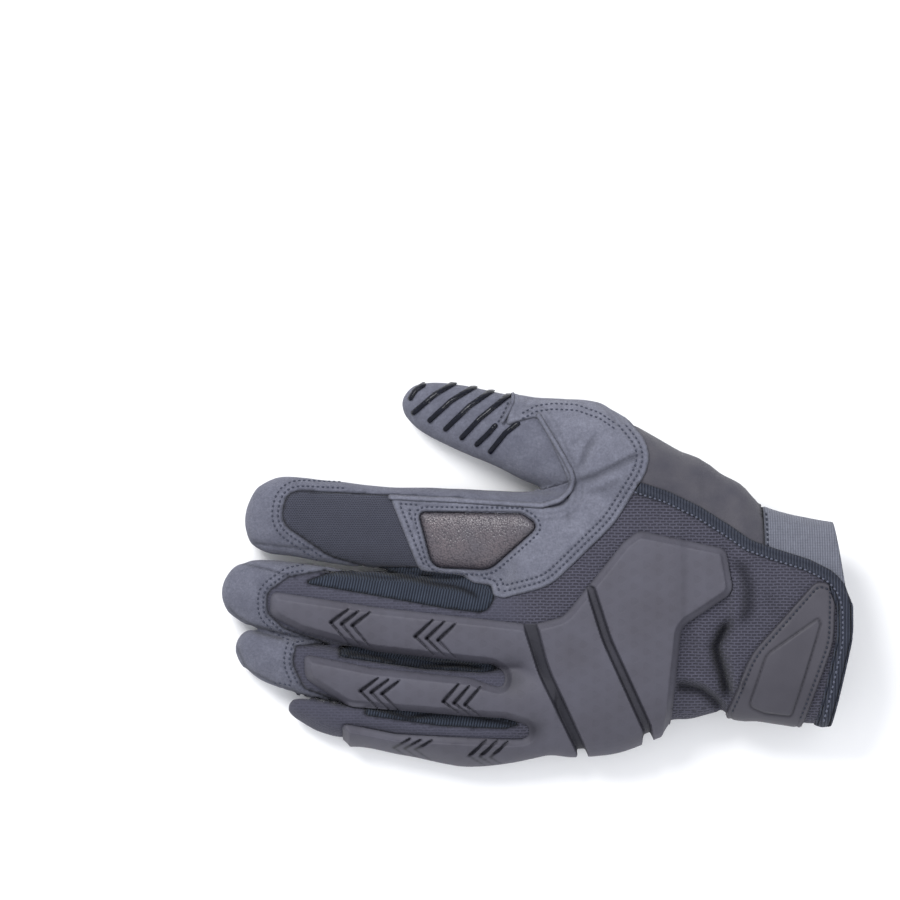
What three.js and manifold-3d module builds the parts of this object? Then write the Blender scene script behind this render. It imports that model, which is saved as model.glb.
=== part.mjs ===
// A left-hand tactical work glove, lying on its palm with the back of the hand up.
// Millimetres, +Z up. While it is built, x = 0 is near the cuff's end, the fingers point to -X, the thumb
// is on the +Y side and z = 0 is the surface that the glove lies on. The finished group is then moved so
// that its origin is the centre of its footprint.
// The form is a table of cross-sections for the hand, each finger and the thumb. The hollow shell is that
// form less the same form shrunk by the wall, and outlines seen from above cut it into sewn panels.
// Overlays, such as the knuckle guard, are slices of the form between two offsets.
import * as THREE from "three";
import { mergeVertices } from "three/addons/utils/BufferGeometryUtils.js";
import Module from "manifold-3d";

const wasm = await Module();
wasm.setup();

// Driving dimensions
const WALL = 1.8; // fabric with its lining
const GAP = 0.3; // between pieces that are sewn or bonded
const PALM_UNDERSIDE = 2.0; // height of the palm leather; its pads fill the space below
const FINGER_UNDERSIDE = 0.9;
const PAD_THICKNESS = 1.7;
const GRIP_PATCH_THICKNESS = 1.2;
const SADDLE_THICKNESS = 0.9;
const GUARD_THICKNESS = 3.2;
const GUARD_GROOVE_FLOOR = 1.3; // rubber left under a groove, above the fabric
const INSERT_THICKNESS = 1.7;
const TAB_THICKNESS = 2.0;
const LOOP_PATCH_THICKNESS = 0.9;
const BINDING_THICKNESS = 1.2;
const BINDING_WIDTH = 4.7;
const CUFF_BINDING_WIDTH = 6.2;
const STRIPE_THICKNESS = 0.5;
const STRIPE_WIDTH = 2.4;
const WRIST_MIDDLE_Z = 21; // height at which the tab and the elastic change from top to underside
const THUMB_SEAM_Z = 9.5; // parts the thumb's pad, which faces up, from its back
const FOURCHETTE_BASE_Z = 5;
const INDEX_SEAM_Z = 7.5;
const GUSSET_SEAM_Z = 13;
const GUARD_EDGE_Z = 7.5; // how far the guard reaches down the little finger's side
const SADDLE_EDGE_Z = 12;
const LOOP_PATCH_TOP_Z = 13;
const PALM_PATCH_TOP_Z = 6;
const STRIPE_EDGE_Z = 4.5;
const HAND_SIDES = 14;
const FINGER_SIDES = 10;
const ARC_STEP = 45; // degrees that one facet of a rounded corner turns
const LEAST_ARC = 0.05; // a corner whose arc would start closer to it than this stays sharp
const FAR = 60; // past the little finger's side of the glove
const BELOW = -5; // under every part of the glove
const TALL = 80; // above every part of it

// Cross-sections, one row each: centre, half width a, half height b, roll about the long axis, which
// raises the thumb side, and yaw of the section's plane in plan, both in degrees.
const COLUMNS = ["x", "y", "z", "a", "b", "roll", "yaw"];
const section = (row) => Object.fromEntries(COLUMNS.map((name, i) => [name, row[i]]));
const FORM = {
  hand: {
    power: 2.5,
    sides: HAND_SIDES,
    underside: PALM_UNDERSIDE,
    rows: [
      [-133, 7, 12.4, 44, 9, 7, 8],
      [-125, 7.5, 15, 49, 14, 7, 8],
      [-112, 7.8, 16.6, 50.6, 16.6, 7, 5],
      [-96, 9, 17.4, 50.4, 17.8, 7, 2],
      [-70, 14.5, 18.6, 46, 18, 6, 0],
      [-64, 20, 19, 51, 16.6, 5, 0],
      [-57, 20, 19.5, 49.6, 18, 5, 0],
      [-50, 18.2, 21.2, 46.5, 16.4, 5, 0],
      [-43, 15.6, 22.4, 45.3, 18, 5, 0],
      [-35, 11.4, 22.4, 41.4, 17.2, 5, 0],
      [-20, 8, 22.6, 40.2, 17.7, 5, 0],
      [5, 5.5, 22.6, 38.5, 18, 5, 0],
    ].map(section),
  },
  index: {
    power: 2.3,
    sides: FINGER_SIDES,
    underside: FINGER_UNDERSIDE,
    rows: [
      [-235.8, 48.2, 9.4, 4, 3, 4, -6],
      [-232, 48.3, 8.8, 11.5, 6.8, 4, -6],
      [-223, 48.4, 9.4, 15.2, 8.9, 4, -6],
      [-202, 45.7, 10.3, 15.8, 9.8, 4, -7],
      [-160, 40.8, 13, 16.8, 11, 4, -6],
      [-118, 39, 17.4, 18, 12.5, 6, 0],
    ].map(section),
  },
  middle: {
    power: 2.3,
    sides: FINGER_SIDES,
    underside: FINGER_UNDERSIDE,
    rows: [
      [-244.8, 19.9, 9.4, 3.4, 2.8, 5, -9],
      [-241, 19.4, 8.7, 9.4, 6.6, 5, -9],
      [-231, 17.7, 9.7, 13.4, 9.1, 5, -9],
      [-208, 13.7, 10.8, 14.8, 10.1, 5, -9],
      [-162, 6.2, 13.6, 14.6, 11.4, 6, -6],
      [-118, 4, 18, 15.5, 13, 7, 0],
    ].map(section),
  },
  ring: {
    power: 2.3,
    sides: FINGER_SIDES,
    underside: FINGER_UNDERSIDE,
    rows: [
      [-239.5, -2.8, 9, 3, 2.8, 22, -9],
      [-236, -3.8, 8.7, 7.4, 6, 22, -9],
      [-227, -7.1, 9.3, 9.9, 8, 24, -9],
      [-206, -12.9, 10.2, 10.7, 9, 25, -9],
      [-162, -20, 12.4, 10.9, 10.2, 24, -5],
      [-116, -22, 16, 12.5, 11.6, 15, 0],
    ].map(section),
  },
  pinky: {
    power: 2.2,
    sides: FINGER_SIDES,
    underside: FINGER_UNDERSIDE,
    rows: [
      [-218.4, -26.6, 9.4, 2.6, 2, 62, -9],
      [-215, -27.5, 9.7, 6, 3.5, 64, -9],
      [-206, -29.6, 10.1, 8.8, 4.6, 66, -9],
      [-184, -33.3, 10.8, 9.9, 5.1, 65, -9],
      [-150, -38, 12, 10.4, 6.4, 56, -4],
      [-114, -32, 14, 9, 8, 30, 0],
    ].map(section),
  },
  thumb: {
    power: 2.2,
    sides: FINGER_SIDES,
    underside: FINGER_UNDERSIDE,
    rows: [
      [-173, 95, 9, 3.2, 2.6, 6, -29],
      [-170, 93.8, 9, 7, 4.8, 6, -29],
      [-162, 90.8, 9.8, 10.8, 7.3, 6, -29],
      [-148, 86.2, 11.2, 13.2, 9.3, 6, -29],
      [-132, 81, 12.9, 14.8, 10.9, 6, -27],
      [-118, 77.2, 15, 17.2, 12.8, 6, -23],
      [-105, 75, 17.4, 19.9, 15, 6, -17],
      [-90, 69, 19.4, 19.5, 16.8, 6, -8],
      [-60, 54, 21.4, 16, 15, 6, 0],
    ].map(section),
  },
};

// Outlines seen from above. Each row is a corner: x, y and the radius that rounds it.
const INDEX_PANEL = [
  [-220, 58.5, 9], [-150, 55, 2], [-150, 24, 2], [-181, 26.2, 6], [-203, 32.6, 12], [-222, 45.5, 8],
];
const BACK_PANEL = [
  [-219, 27, 2], [-229.5, 20, 9], [-224, 3.5, 3], [-213, 0.2, 1], [-218, -2, 1], [-217.4, -22.4, 1],
  [-222, -24, 1], [-222, -FAR, 0], [8, -FAR, 0], [8, 19, 0], [-3.5, 19.5, 4], [-8, 24.7, 6],
  [-18, 29.7, 10], [-31, 33.8, 10], [-41, 37.4, 10], [-60, 50, 20], [-72, 55.8, 10], [-86, 62, 4],
  [-88, 66, 2], [-150, 50, 4], [-150, 24, 4], [-180, 24, 4],
];
const FOURCHETTES = {
  index_middle: [
    [-214, 22.3, 1], [-204, 25.4, 6], [-183, 26.8, 6], [-160, 26.6, 6], [-138.5, 21, 4], [-134, 15.5, 4],
    [-141, 11.6, 4], [-160, 12.7, 8], [-184, 17.2, 8],
  ],
  middle_ring: [
    [-199, -2.4, 1], [-166, -4.6, 8], [-140, -6.6, 6], [-132, -12, 3], [-140, -13.6, 5], [-166, -11.4, 8],
    [-199, -6.6, 1],
  ],
  ring_pinky: [
    [-189, -26, 1], [-160, -27.6, 6], [-137, -28.4, 6], [-122, -32.5, 3], [-130, -36, 4], [-160, -33.4, 8],
    [-189, -29.4, 1],
  ],
};
// The suede of each fingertip, and where the suede and mesh of each finger, the thumb's heel and the
// wrist meet the hand's.
const FINGER_ENDS = {
  index: [[-300, 31, 0], [-214, 31, 6], [-208, 66, 6], [-300, 66, 0]],
  middle: [[-300, 4.6, 0], [-223, 4.6, 4], [-218, 33, 4], [-300, 33, 0]],
  ring: [[-300, -24, 0], [-216, -24, 3], [-215, 3.6, 3], [-300, 3.6, 0]],
};
const FINGER_STRIPS = {
  index: [[-300, 25, 0], [-150, 23.5, 0], [-141, 23.5, 0], [-141, 70, 0], [-300, 70, 0]],
  middle: [[-300, 3, 0], [-226, 2, 0], [-150, -9.8, 0], [-137, -9.8, 0], [-141, 23.5, 0], [-150, 23.5, 0],
    [-300, 38, 0]],
  ring: [[-300, -20, 0], [-222, -22, 0], [-150, -30.4, 0], [-133, -30.4, 0], [-137, -9.8, 0],
    [-150, -9.8, 0], [-226, 2, 0], [-300, 3, 0]],
  pinky: [[-300, -60, 0], [-124, -60, 0], [-133, -30.4, 0], [-150, -30.4, 0], [-222, -22, 0],
    [-300, -20, 0]],
};
const THUMB_HEEL = [[-135, 47, 0], [-60, 47, 0], [-60, 120, 0], [-135, 120, 0]];
const WRIST = [[-67, -FAR, 0], [30, -FAR, 0], [30, 130, 0], [-67, 130, 0]];
const GUSSET_PANEL = [
  [-86, 62, 3], [-72, 55.8, 10], [-60, 50, 20], [-41, 37.4, 10], [-34.3, 35, 1], [-35.4, 60, 1],
  [-60, 90, 2], [-88, 98, 2], [-84, 80, 2],
];
const ELASTIC_TOP = [
  [-35.4, 70, 0], [-34.3, 35, 0], [-31, 33.8, 4], [-18, 29.7, 10], [-8, 24.7, 6], [-3.5, 19.5, 3],
  [8, 19, 0], [8, 70, 0],
];
const ELASTIC_UNDERSIDE = [[-35.4, 70, 0], [-35.4, 6, 3], [8, 6, 0], [8, 70, 0]];
const THUMB_PANEL = [[-190, 120, 0], [-117, 120, 0], [-108, 62, 4], [-120, 58, 2], [-190, 88, 0]];
const EVERYWHERE = { low: -90, high: 130, left: -300, right: 30 };
const CUFF_END = [[-19, -90, 0], [-2.6, -8, 0], [-2, 24, 0], [-9.5, 70, 0], [-9.5, 130, 0]];
// The side seam between palm and back, as x and height: low at the fingers, higher at the wrist.
const SIDE_SEAM = [[-300, 6.5], [-190, 6.5], [-120, 8.5], [-70, 11], [30, 17.6]];
const SADDLE = [
  [-179.5, 56, 1.5], [-105, 51, 9], [-122, 89, 5], [-133.5, 90, 2], [-127, 98.5, 7], [-97, 98.5, 16],
  [-75.5, 73, 17], [-92, 46, 40], [-117, 21.5, 22], [-139.8, 17, 2], [-139.8, 20.6, 1], [-150, 26.6, 8],
  [-169, 27, 4],
];
const INSERT = [[-168.6, 49.9, 2], [-120, 48.4, 5], [-137.5, 27.4, 10], [-162.5, 28.2, 5]];
const GUARD = [
  [-225.8, 19, 3], [-183, 12.7, 60], [-124, 6.4, 16], [-112, 9.6, 10], [-89, 38.5, 10], [-83, 43, 5],
  [-49.5, 36, 4], [-46.6, 19, 6], [-66.5, 5.5, 8], [-72.6, -FAR, 0], [-198, -FAR, 0], [-198, -32.6, 2],
  [-177, -36.8, 20], [-125.6, -39.4, 2], [-122.6, -31.6, 4], [-150, -29.6, 30], [-196, -26, 12],
  [-212.6, -15, 6], [-213, -5.4, 2.5], [-186, -10.8, 30], [-142, -15.4, 5], [-136.5, -21.4, 2],
  [-132, -13, 5], [-140, -9, 6], [-186, -4.5, 30], [-214, 3.2, 16], [-226.4, 9.6, 5],
];
const GUARD_GROOVES = [
  [
    [-129, 12, 0], [-124, 12, 0], [-118.5, -10, 60], [-103.2, -43, 0], [-101, -FAR, 0], [-105, -FAR, 0],
    [-105.4, -45, 0], [-121, -13, 60],
  ],
  [
    [-103.4, 22, 0], [-100.6, 21, 0], [-94.2, 1, 60], [-78.4, -33, 0], [-74, -FAR, 0], [-79, -FAR, 0],
    [-80.4, -35, 0], [-96.6, 0.5, 60],
  ],
];
const TAB_TOP = [
  [-14.5, 24, 5], [-7.4, 21.6, 4], [-7.8, 0, 30], [-19, -33, 6], [-20, -FAR, 0], [-49, -FAR, 0],
  [-48.6, -28, 5], [-40, -5, 30],
];
const TAB_UNDERSIDE = [[-48.5, -FAR, 0], [-48.5, 4, 7], [-20.5, 4, 7], [-20.5, -FAR, 0]];
const LOOP_PATCH = [[-50, -20, 2], [-50, 20, 3], [-19, 20, 3], [-19, -20, 2]];
const CUFF_BINDING_TOP = [[-30, 22, 0], [10, 22, 0], [10, -90, 0], [-30, -90, 0]];
const CUFF_BINDING_UNDERSIDE = [[-30, 4, 0], [10, 4, 0], [10, -90, 0], [-30, -90, 0]];
const PALM_GRIP = [
  [-157, 50, 6], [-125, 54, 10], [-110.5, 34, 12], [-112, 19, 10], [-125, -4, 20], [-123, -37.5, 5],
  [-140, -37.5, 4], [-141, -27.5, 3], [-137.4, -27, 1.5], [-137.4, -22.5, 1.5], [-157, -21.5, 4],
  [-157, -5, 4], [-141, -4.5, 1.5], [-141, 0.4, 1.5], [-157, 1.4, 4], [-157, 19.5, 4], [-142.5, 20, 1.5],
  [-142.5, 26.5, 1.5], [-157, 28, 4],
];
const THUMB_PAD = [
  [-109, 14, 4], [-107.5, 38.5, 6], [-78, 44, 6], [-57.5, 16, 5], [-58.5, 4, 4], [-104, 1, 4],
];
const HEEL_PAD = [
  [-119, -6, 4], [-110, -2.4, 4], [-60.5, -2, 4], [-59, -17, 5], [-99, -32, 8], [-116, -31, 5],
];
// The binding's line along the wrist slit, as cuts through its middle.
const SLIT_BINDING = [
  [-83.5, 59.5], [-72, 55.8], [-60, 50], [-49, 43], [-41, 37.4], [-31, 33.8], [-18, 29.7], [-8, 24.7],
  [-3.4, 19.6],
];
// Silicone stripes on the thumb's pad, end to end, and across the underside of the index fingertip.
const THUMB_STRIPES = [
  [-171.5, 88.5, -156, 101], [-163.4, 84.6, -144.6, 101.6], [-157, 81.6, -137.6, 99.4],
  [-150.6, 78.6, -131.4, 96.4], [-144.4, 75.6, -135.4, 84.2], [-138.2, 72.6, -127.2, 83.6],
];
const INDEX_STRIPES = { first: -230.5, step: 5.4, count: 6, low: 32, high: 65, width: 2.2 };

const colours = {
  suede: [0x797b8a, 0.95],
  mesh: [0x54535f, 0.9],
  knit: [0x4e4f5c, 0.9],
  rib: [0x383f4b, 0.85],
  rubber: [0x62606c, 0.6],
  insert: [0x6d686d, 0.5],
  neoprene: [0x5c5b63, 0.85],
  elastic: [0x757783, 0.85],
  binding: [0x3a3f4b, 0.9],
  silicone: [0x14161c, 0.25],
  grip: [0x45434b, 0.8],
  loop: [0x5a5457, 0.95],
};
const materials = Object.fromEntries(
  Object.entries(colours).map(([slot, [color, roughness]]) => [
    slot,
    new THREE.MeshStandardMaterial({ color, roughness, metalness: 0, name: slot }),
  ]),
);

// A three.js geometry as a solid.
function solidFrom(geometry) {
  const bare = new THREE.BufferGeometry().setAttribute("position", geometry.getAttribute("position"));
  if (geometry.index) bare.setIndex(geometry.index);
  const merged = mergeVertices(bare, 1e-4);
  return new wasm.Manifold(
    new wasm.Mesh({
      numProp: 3,
      vertProperties: merged.getAttribute("position").array,
      triVerts: new Uint32Array(merged.index.array),
    }),
  );
}

// A row's lean: how steeply the form widens there, so that a grown form is as thick at a blunt tip.
function lean(rows, i) {
  const before = rows[Math.max(i - 1, 0)];
  const after = rows[Math.min(i + 1, rows.length - 1)];
  const size = (row) => (row.a + row.b) / 2;
  return Math.atan2(Math.max(0, size(after) - size(before)), after.x - before.x);
}

// The points of one cross-section, grown outwards by a distance and flattened where it lies.
function ring(form, i, grow) {
  const row = form.rows[i];
  const roll = THREE.MathUtils.degToRad(row.roll);
  const yaw = THREE.MathUtils.degToRad(row.yaw);
  const steep = lean(form.rows, i);
  const widen = grow * Math.cos(steep);
  const floor = form.underside - grow;
  const points = [];
  for (let k = 0; k < form.sides; k++) {
    const angle = (2 * Math.PI * (k + 0.5)) / form.sides;
    const c = Math.cos(angle);
    const s = Math.sin(angle);
    const u = (row.a + widen) * Math.sign(c) * Math.abs(c) ** (2 / form.power);
    const v = (row.b + widen) * Math.sign(s) * Math.abs(s) ** (2 / form.power);
    const across = u * Math.cos(roll) - v * Math.sin(roll);
    const up = u * Math.sin(roll) + v * Math.cos(roll);
    points.push([
      row.x - across * Math.sin(yaw) - grow * Math.sin(steep),
      row.y + across * Math.cos(yaw),
      Math.max(row.z + up, floor),
    ]);
  }
  return points;
}

// A closed loft through a form's cross-sections.
function loft(form, grow) {
  const least = 0.8; // a shrunk section thinner than this ends the hollow
  const bulge = 0.3; // how far the end cap's middle stands out
  const thick = (row) => Math.min(row.a, row.b) + grow > least;
  const kept = form.rows.map((row, i) => (thick(row) ? i : -1)).filter((i) => i >= 0);
  const rings = kept.map((i) => ring(form, i, grow));
  const first = form.rows[kept[0]];
  const last = form.rows[kept[kept.length - 1]];
  const reach = grow * Math.sin(lean(form.rows, kept[0]));
  const tip = [first.x - reach - bulge, first.y, first.z];
  const end = [last.x, last.y, last.z];
  const positions = [...rings.flat(), tip, end].flat();
  const faces = [];
  const n = form.sides;
  const tipIndex = rings.length * n;
  for (let k = 0; k < n; k++) {
    const next = (k + 1) % n;
    for (let i = 0; i + 1 < rings.length; i++) {
      const a = i * n + k;
      const b = i * n + next;
      faces.push(a, b, a + n, b, b + n, a + n);
    }
    const base = (rings.length - 1) * n;
    faces.push(tipIndex, next, k);
    faces.push(tipIndex + 1, base + k, base + next);
  }
  const geometry = new THREE.BufferGeometry();
  geometry.setAttribute("position", new THREE.Float32BufferAttribute(positions, 3));
  geometry.setIndex(faces);
  return solidFrom(geometry);
}

// The whole form, grown by a distance; each offset is made once.
const offsets = new Map();
function form(grow) {
  if (!offsets.has(grow)) {
    const lofts = Object.values(FORM).map((part) => loft(part, grow));
    offsets.set(grow, lofts.reduce((sum, part) => sum.add(part)));
  }
  return offsets.get(grow);
}

// A corner table as a line of points, with an arc at each rounded corner.
function rounded(corners) {
  const points = [];
  const count = corners.length;
  corners.forEach(([x, y, radius], i) => {
    const corner = new THREE.Vector2(x, y);
    const before = new THREE.Vector2(...corners[(i + count - 1) % count]).sub(corner);
    const after = new THREE.Vector2(...corners[(i + 1) % count]).sub(corner);
    const half = Math.abs(before.angleTo(after)) / 2;
    const reach = Math.min(radius / Math.tan(half), before.length() / 2, after.length() / 2);
    const turn = Math.PI - 2 * half;
    const steps = Math.round(turn / THREE.MathUtils.degToRad(ARC_STEP));
    if (reach < LEAST_ARC || !steps) {
      points.push(corner);
      return;
    }
    const start = corner.clone().addScaledVector(before.clone().normalize(), reach);
    const end = corner.clone().addScaledVector(after.clone().normalize(), reach);
    const curve = new THREE.QuadraticBezierCurve(start, corner, end);
    points.push(...curve.getPoints(steps));
  });
  return points;
}

// An outline moved outwards by a distance.
function widened(points, distance) {
  if (!distance) return points;
  const outwards = THREE.ShapeUtils.area(points) > 0 ? distance : -distance;
  return points.map((point, i) => {
    const before = points[(i + points.length - 1) % points.length];
    const after = points[(i + 1) % points.length];
    const into = point.clone().sub(before).normalize();
    const out = after.clone().sub(point).normalize();
    const normal = new THREE.Vector2(into.y + out.y, -into.x - out.x).normalize();
    const stretch = 1 / Math.max(0.5, normal.dot(new THREE.Vector2(into.y, -into.x)));
    return point.clone().addScaledVector(normal, outwards * stretch);
  });
}

// An upright prism on an outline.
function prism(points, low = BELOW, high = TALL) {
  const shape = new THREE.Shape(points);
  const geometry = new THREE.ExtrudeGeometry(shape, { depth: high - low, bevelEnabled: false });
  geometry.translate(0, 0, low);
  return solidFrom(geometry);
}
const outlined = (corners, low, high, grow = 0) => prism(widened(rounded(corners), grow), low, high);

// The slice of space between two offsets of the form.
const layer = (from, thickness) => form(from + thickness).subtract(form(from)).subtract(form(0));

// The largest body of a solid, without the crumbs that a cut can leave.
function largest(solid) {
  const bodies = solid.decompose();
  return bodies.reduce((best, body) => (body.volume() > best.volume() ? body : best));
}

// A band of constant width along a line of points.
function band(points, width) {
  const line = points.map(([x, y]) => new THREE.Vector2(x, y));
  const left = [];
  const right = [];
  line.forEach((point, i) => {
    const before = line[Math.max(i - 1, 0)];
    const after = line[Math.min(i + 1, line.length - 1)];
    const along = after.clone().sub(before).normalize();
    const side = new THREE.Vector2(-along.y, along.x).multiplyScalar(width / 2);
    left.push(point.clone().add(side));
    right.unshift(point.clone().sub(side));
  });
  return [...left, ...right];
}

// Everything on the finger side of the cuff's curved end, when that end is moved by a distance.
function beforeCuffEnd(move) {
  const end = rounded(CUFF_END).map((point) => new THREE.Vector2(point.x + move, point.y));
  const { low, high, left } = EVERYWHERE;
  return prism([new THREE.Vector2(left, low), ...end, new THREE.Vector2(left, high)]);
}

// Everything above the side seam, when the seam is lowered by a distance.
function aboveSeam(lower) {
  const points = SIDE_SEAM.map(([x, z]) => new THREE.Vector2(x, z - lower));
  const { low, high, left, right } = EVERYWHERE;
  points.push(new THREE.Vector2(right, TALL), new THREE.Vector2(left, TALL));
  const shape = new THREE.Shape(points);
  const geometry = new THREE.ExtrudeGeometry(shape, { depth: high - low, bevelEnabled: false });
  geometry.rotateX(Math.PI / 2);
  geometry.translate(0, high, 0);
  return solidFrom(geometry);
}

// The shell's panels, in the order in which they claim it. Each region can be widened by a distance.
const everywhere = () => {
  const { low, high, left, right } = EVERYWHERE;
  return outlined([[left, low, 0], [right, low, 0], [right, high, 0], [left, high, 0]]);
};
const aboveHeight = (corners, height) => (grow) => outlined(corners, height - grow, TALL, grow);
const wholeBack = (grow) => outlined(BACK_PANEL, BELOW, TALL, grow).intersect(aboveSeam(grow));
const backOf = (corners, grow) => wholeBack(grow).intersect(outlined(corners, BELOW, TALL, grow));
const PANELS = [
  ["fourchette_index_middle", "rib", aboveHeight(FOURCHETTES.index_middle, FOURCHETTE_BASE_Z)],
  ["fourchette_middle_ring", "rib", aboveHeight(FOURCHETTES.middle_ring, FOURCHETTE_BASE_Z)],
  ["fourchette_ring_pinky", "rib", aboveHeight(FOURCHETTES.ring_pinky, FOURCHETTE_BASE_Z)],
  ["index_back", "knit", aboveHeight(INDEX_PANEL, INDEX_SEAM_Z)],
  [
    "wrist_elastic",
    "elastic",
    (grow) =>
      outlined(ELASTIC_TOP, WRIST_MIDDLE_Z, TALL, grow).add(
        outlined(ELASTIC_UNDERSIDE, BELOW, WRIST_MIDDLE_Z, grow),
      ),
  ],
  ["wrist_gusset", "neoprene", aboveHeight(GUSSET_PANEL, GUSSET_SEAM_Z)],
  ["thumb_back", "mesh", (grow) => outlined(THUMB_PANEL, BELOW, THUMB_SEAM_Z + grow, grow)],
  ["thumb_pad_panel", "suede", aboveHeight(THUMB_PANEL, THUMB_SEAM_Z)],
  ["middle_back", "mesh", (grow) => backOf(FINGER_STRIPS.middle, grow)],
  ["ring_back", "mesh", (grow) => backOf(FINGER_STRIPS.ring, grow)],
  ["pinky_back", "mesh", (grow) => backOf(FINGER_STRIPS.pinky, grow)],
  ["wrist_back", "mesh", (grow) => backOf(WRIST, grow)],
  ["back_panel", "mesh", wholeBack],
  ["index_tip", "suede", (grow) => outlined(FINGER_ENDS.index, BELOW, TALL, grow)],
  ["middle_tip", "suede", (grow) => outlined(FINGER_ENDS.middle, BELOW, TALL, grow)],
  ["ring_tip", "suede", (grow) => outlined(FINGER_ENDS.ring, BELOW, TALL, grow)],
  ["index_front", "suede", (grow) => outlined(FINGER_STRIPS.index, BELOW, TALL, grow)],
  ["middle_front", "suede", (grow) => outlined(FINGER_STRIPS.middle, BELOW, TALL, grow)],
  ["ring_front", "suede", (grow) => outlined(FINGER_STRIPS.ring, BELOW, TALL, grow)],
  ["pinky_front", "suede", (grow) => outlined(FINGER_STRIPS.pinky, BELOW, TALL, grow)],
  ["wrist_front", "suede", (grow) => outlined(WRIST, BELOW, TALL, grow)],
  ["thumb_heel", "suede", (grow) => outlined(THUMB_HEEL, BELOW, TALL, grow)],
  ["palm_panel", "suede", everywhere],
];

const glove = new THREE.Group();
function addPiece(name, material, solid) {
  const mesh = largest(solid).getMesh();
  const count = mesh.numProp;
  const positions = new Float32Array(mesh.numVert * 3);
  for (let i = 0; i < mesh.numVert; i++) {
    positions.set(mesh.vertProperties.subarray(i * count, i * count + 3), i * 3);
  }
  const geometry = new THREE.BufferGeometry();
  geometry.setAttribute("position", new THREE.BufferAttribute(positions, 3));
  geometry.setIndex(new THREE.BufferAttribute(mesh.triVerts, 1));
  geometry.computeVertexNormals();
  const piece = new THREE.Mesh(geometry, materials[material]);
  piece.name = name;
  glove.add(piece);
}

// The sewn shell
const shell = form(0).subtract(form(-WALL)).intersect(beforeCuffEnd(0));
let unclaimed = shell;
for (const [name, material, region] of PANELS) {
  addPiece(name, material, unclaimed.intersect(region(0)));
  unclaimed = unclaimed.subtract(region(GAP));
}

// The suede patch round the base of the thumb, with its window, and the rubber pad in the window
const saddleRegion = outlined(SADDLE, SADDLE_EDGE_Z).subtract(outlined(INSERT, 0, TALL, GAP));
addPiece("thumb_saddle", "suede", layer(GAP, SADDLE_THICKNESS).intersect(saddleRegion));
addPiece("knuckle_insert", "insert", layer(GAP, INSERT_THICKNESS).intersect(outlined(INSERT)));

// The moulded knuckle guard with its two grooves
let guard = layer(GAP, GUARD_THICKNESS).intersect(outlined(GUARD, GUARD_EDGE_Z));
for (const groove of GUARD_GROOVES) {
  guard = guard.subtract(prism(rounded(groove)).subtract(form(GAP + GUARD_GROOVE_FLOOR)));
}
addPiece("knuckle_guard", "rubber", guard);

// The binding along the slit and round the cuff's end
const cuffBand = beforeCuffEnd(GAP + BINDING_THICKNESS).subtract(beforeCuffEnd(-CUFF_BINDING_WIDTH));
const slitBand = prism(band(SLIT_BINDING, BINDING_WIDTH), WRIST_MIDDLE_Z);
const cuffReach = outlined(CUFF_BINDING_TOP, WRIST_MIDDLE_Z).add(
  outlined(CUFF_BINDING_UNDERSIDE, BELOW, WRIST_MIDDLE_Z),
);
const bindingPath = cuffBand.intersect(cuffReach).add(slitBand);
const bindingSkin = layer(GAP, BINDING_THICKNESS).intersect(bindingPath);
const lip = form(GAP + BINDING_THICKNESS)
  .subtract(form(-WALL))
  .intersect(beforeCuffEnd(GAP + BINDING_THICKNESS).subtract(beforeCuffEnd(GAP)))
  .intersect(cuffReach);
const binding = bindingSkin
  .add(lip)
  .intersect(beforeCuffEnd(GAP + BINDING_THICKNESS))
  .subtract(outlined(SADDLE, SADDLE_EDGE_Z, TALL, GAP));
addPiece("cuff_binding", "binding", binding);

// The closure: a loop patch under the wrist, and the rubber tab that wraps round to it
const loopRegion = (grow) => outlined(LOOP_PATCH, BELOW, LOOP_PATCH_TOP_Z + grow, grow);
const loopPatch = layer(GAP, LOOP_PATCH_THICKNESS).intersect(loopRegion(0));
const overLoop = form(GAP + LOOP_PATCH_THICKNESS + GAP).intersect(loopRegion(GAP));
const besideBinding = beforeCuffEnd(-CUFF_BINDING_WIDTH - GAP).subtract(
  prism(band(SLIT_BINDING, BINDING_WIDTH + 2 * GAP), WRIST_MIDDLE_Z - GAP),
);
const tabRegion = outlined(TAB_TOP, WRIST_MIDDLE_Z)
  .add(outlined(TAB_UNDERSIDE, BELOW, WRIST_MIDDLE_Z))
  .intersect(besideBinding);
addPiece("loop_patch", "loop", loopPatch);
addPiece("closure_tab", "rubber", layer(GAP, TAB_THICKNESS).intersect(tabRegion).subtract(overLoop));

// Patches and pads under the palm
const underHand = (corners, thickness) =>
  layer(GAP, thickness).intersect(outlined(corners, BELOW, PALM_PATCH_TOP_Z));
addPiece("palm_grip_patch", "grip", underHand(PALM_GRIP, GRIP_PATCH_THICKNESS));
addPiece("thumb_base_pad", "suede", underHand(THUMB_PAD, PAD_THICKNESS));
addPiece("heel_pad", "suede", underHand(HEEL_PAD, PAD_THICKNESS));

// Silicone grip stripes
THUMB_STRIPES.forEach(([x0, y0, x1, y1], i) => {
  const strip = prism(band([[x0, y0], [x1, y1]], STRIPE_WIDTH), THUMB_SEAM_Z + 2).subtract(
    outlined(SADDLE, 0, TALL, GAP),
  );
  addPiece(`thumb_stripe_${i + 1}`, "silicone", layer(GAP, STRIPE_THICKNESS).intersect(strip));
});
for (let i = 0; i < INDEX_STRIPES.count; i++) {
  const { first, step, low, high, width } = INDEX_STRIPES;
  const x = first + i * step;
  const strip = prism(band([[x, low], [x, high]], width), BELOW, STRIPE_EDGE_Z);
  addPiece(`index_stripe_${i + 1}`, "silicone", layer(GAP, STRIPE_THICKNESS).intersect(strip));
}

// The origin is the centre of the footprint.
const bounds = new THREE.Box3().setFromObject(glove);
const middle = bounds.getCenter(new THREE.Vector3());
glove.position.set(-middle.x, -middle.y, -bounds.min.z);

export default glove;
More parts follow.
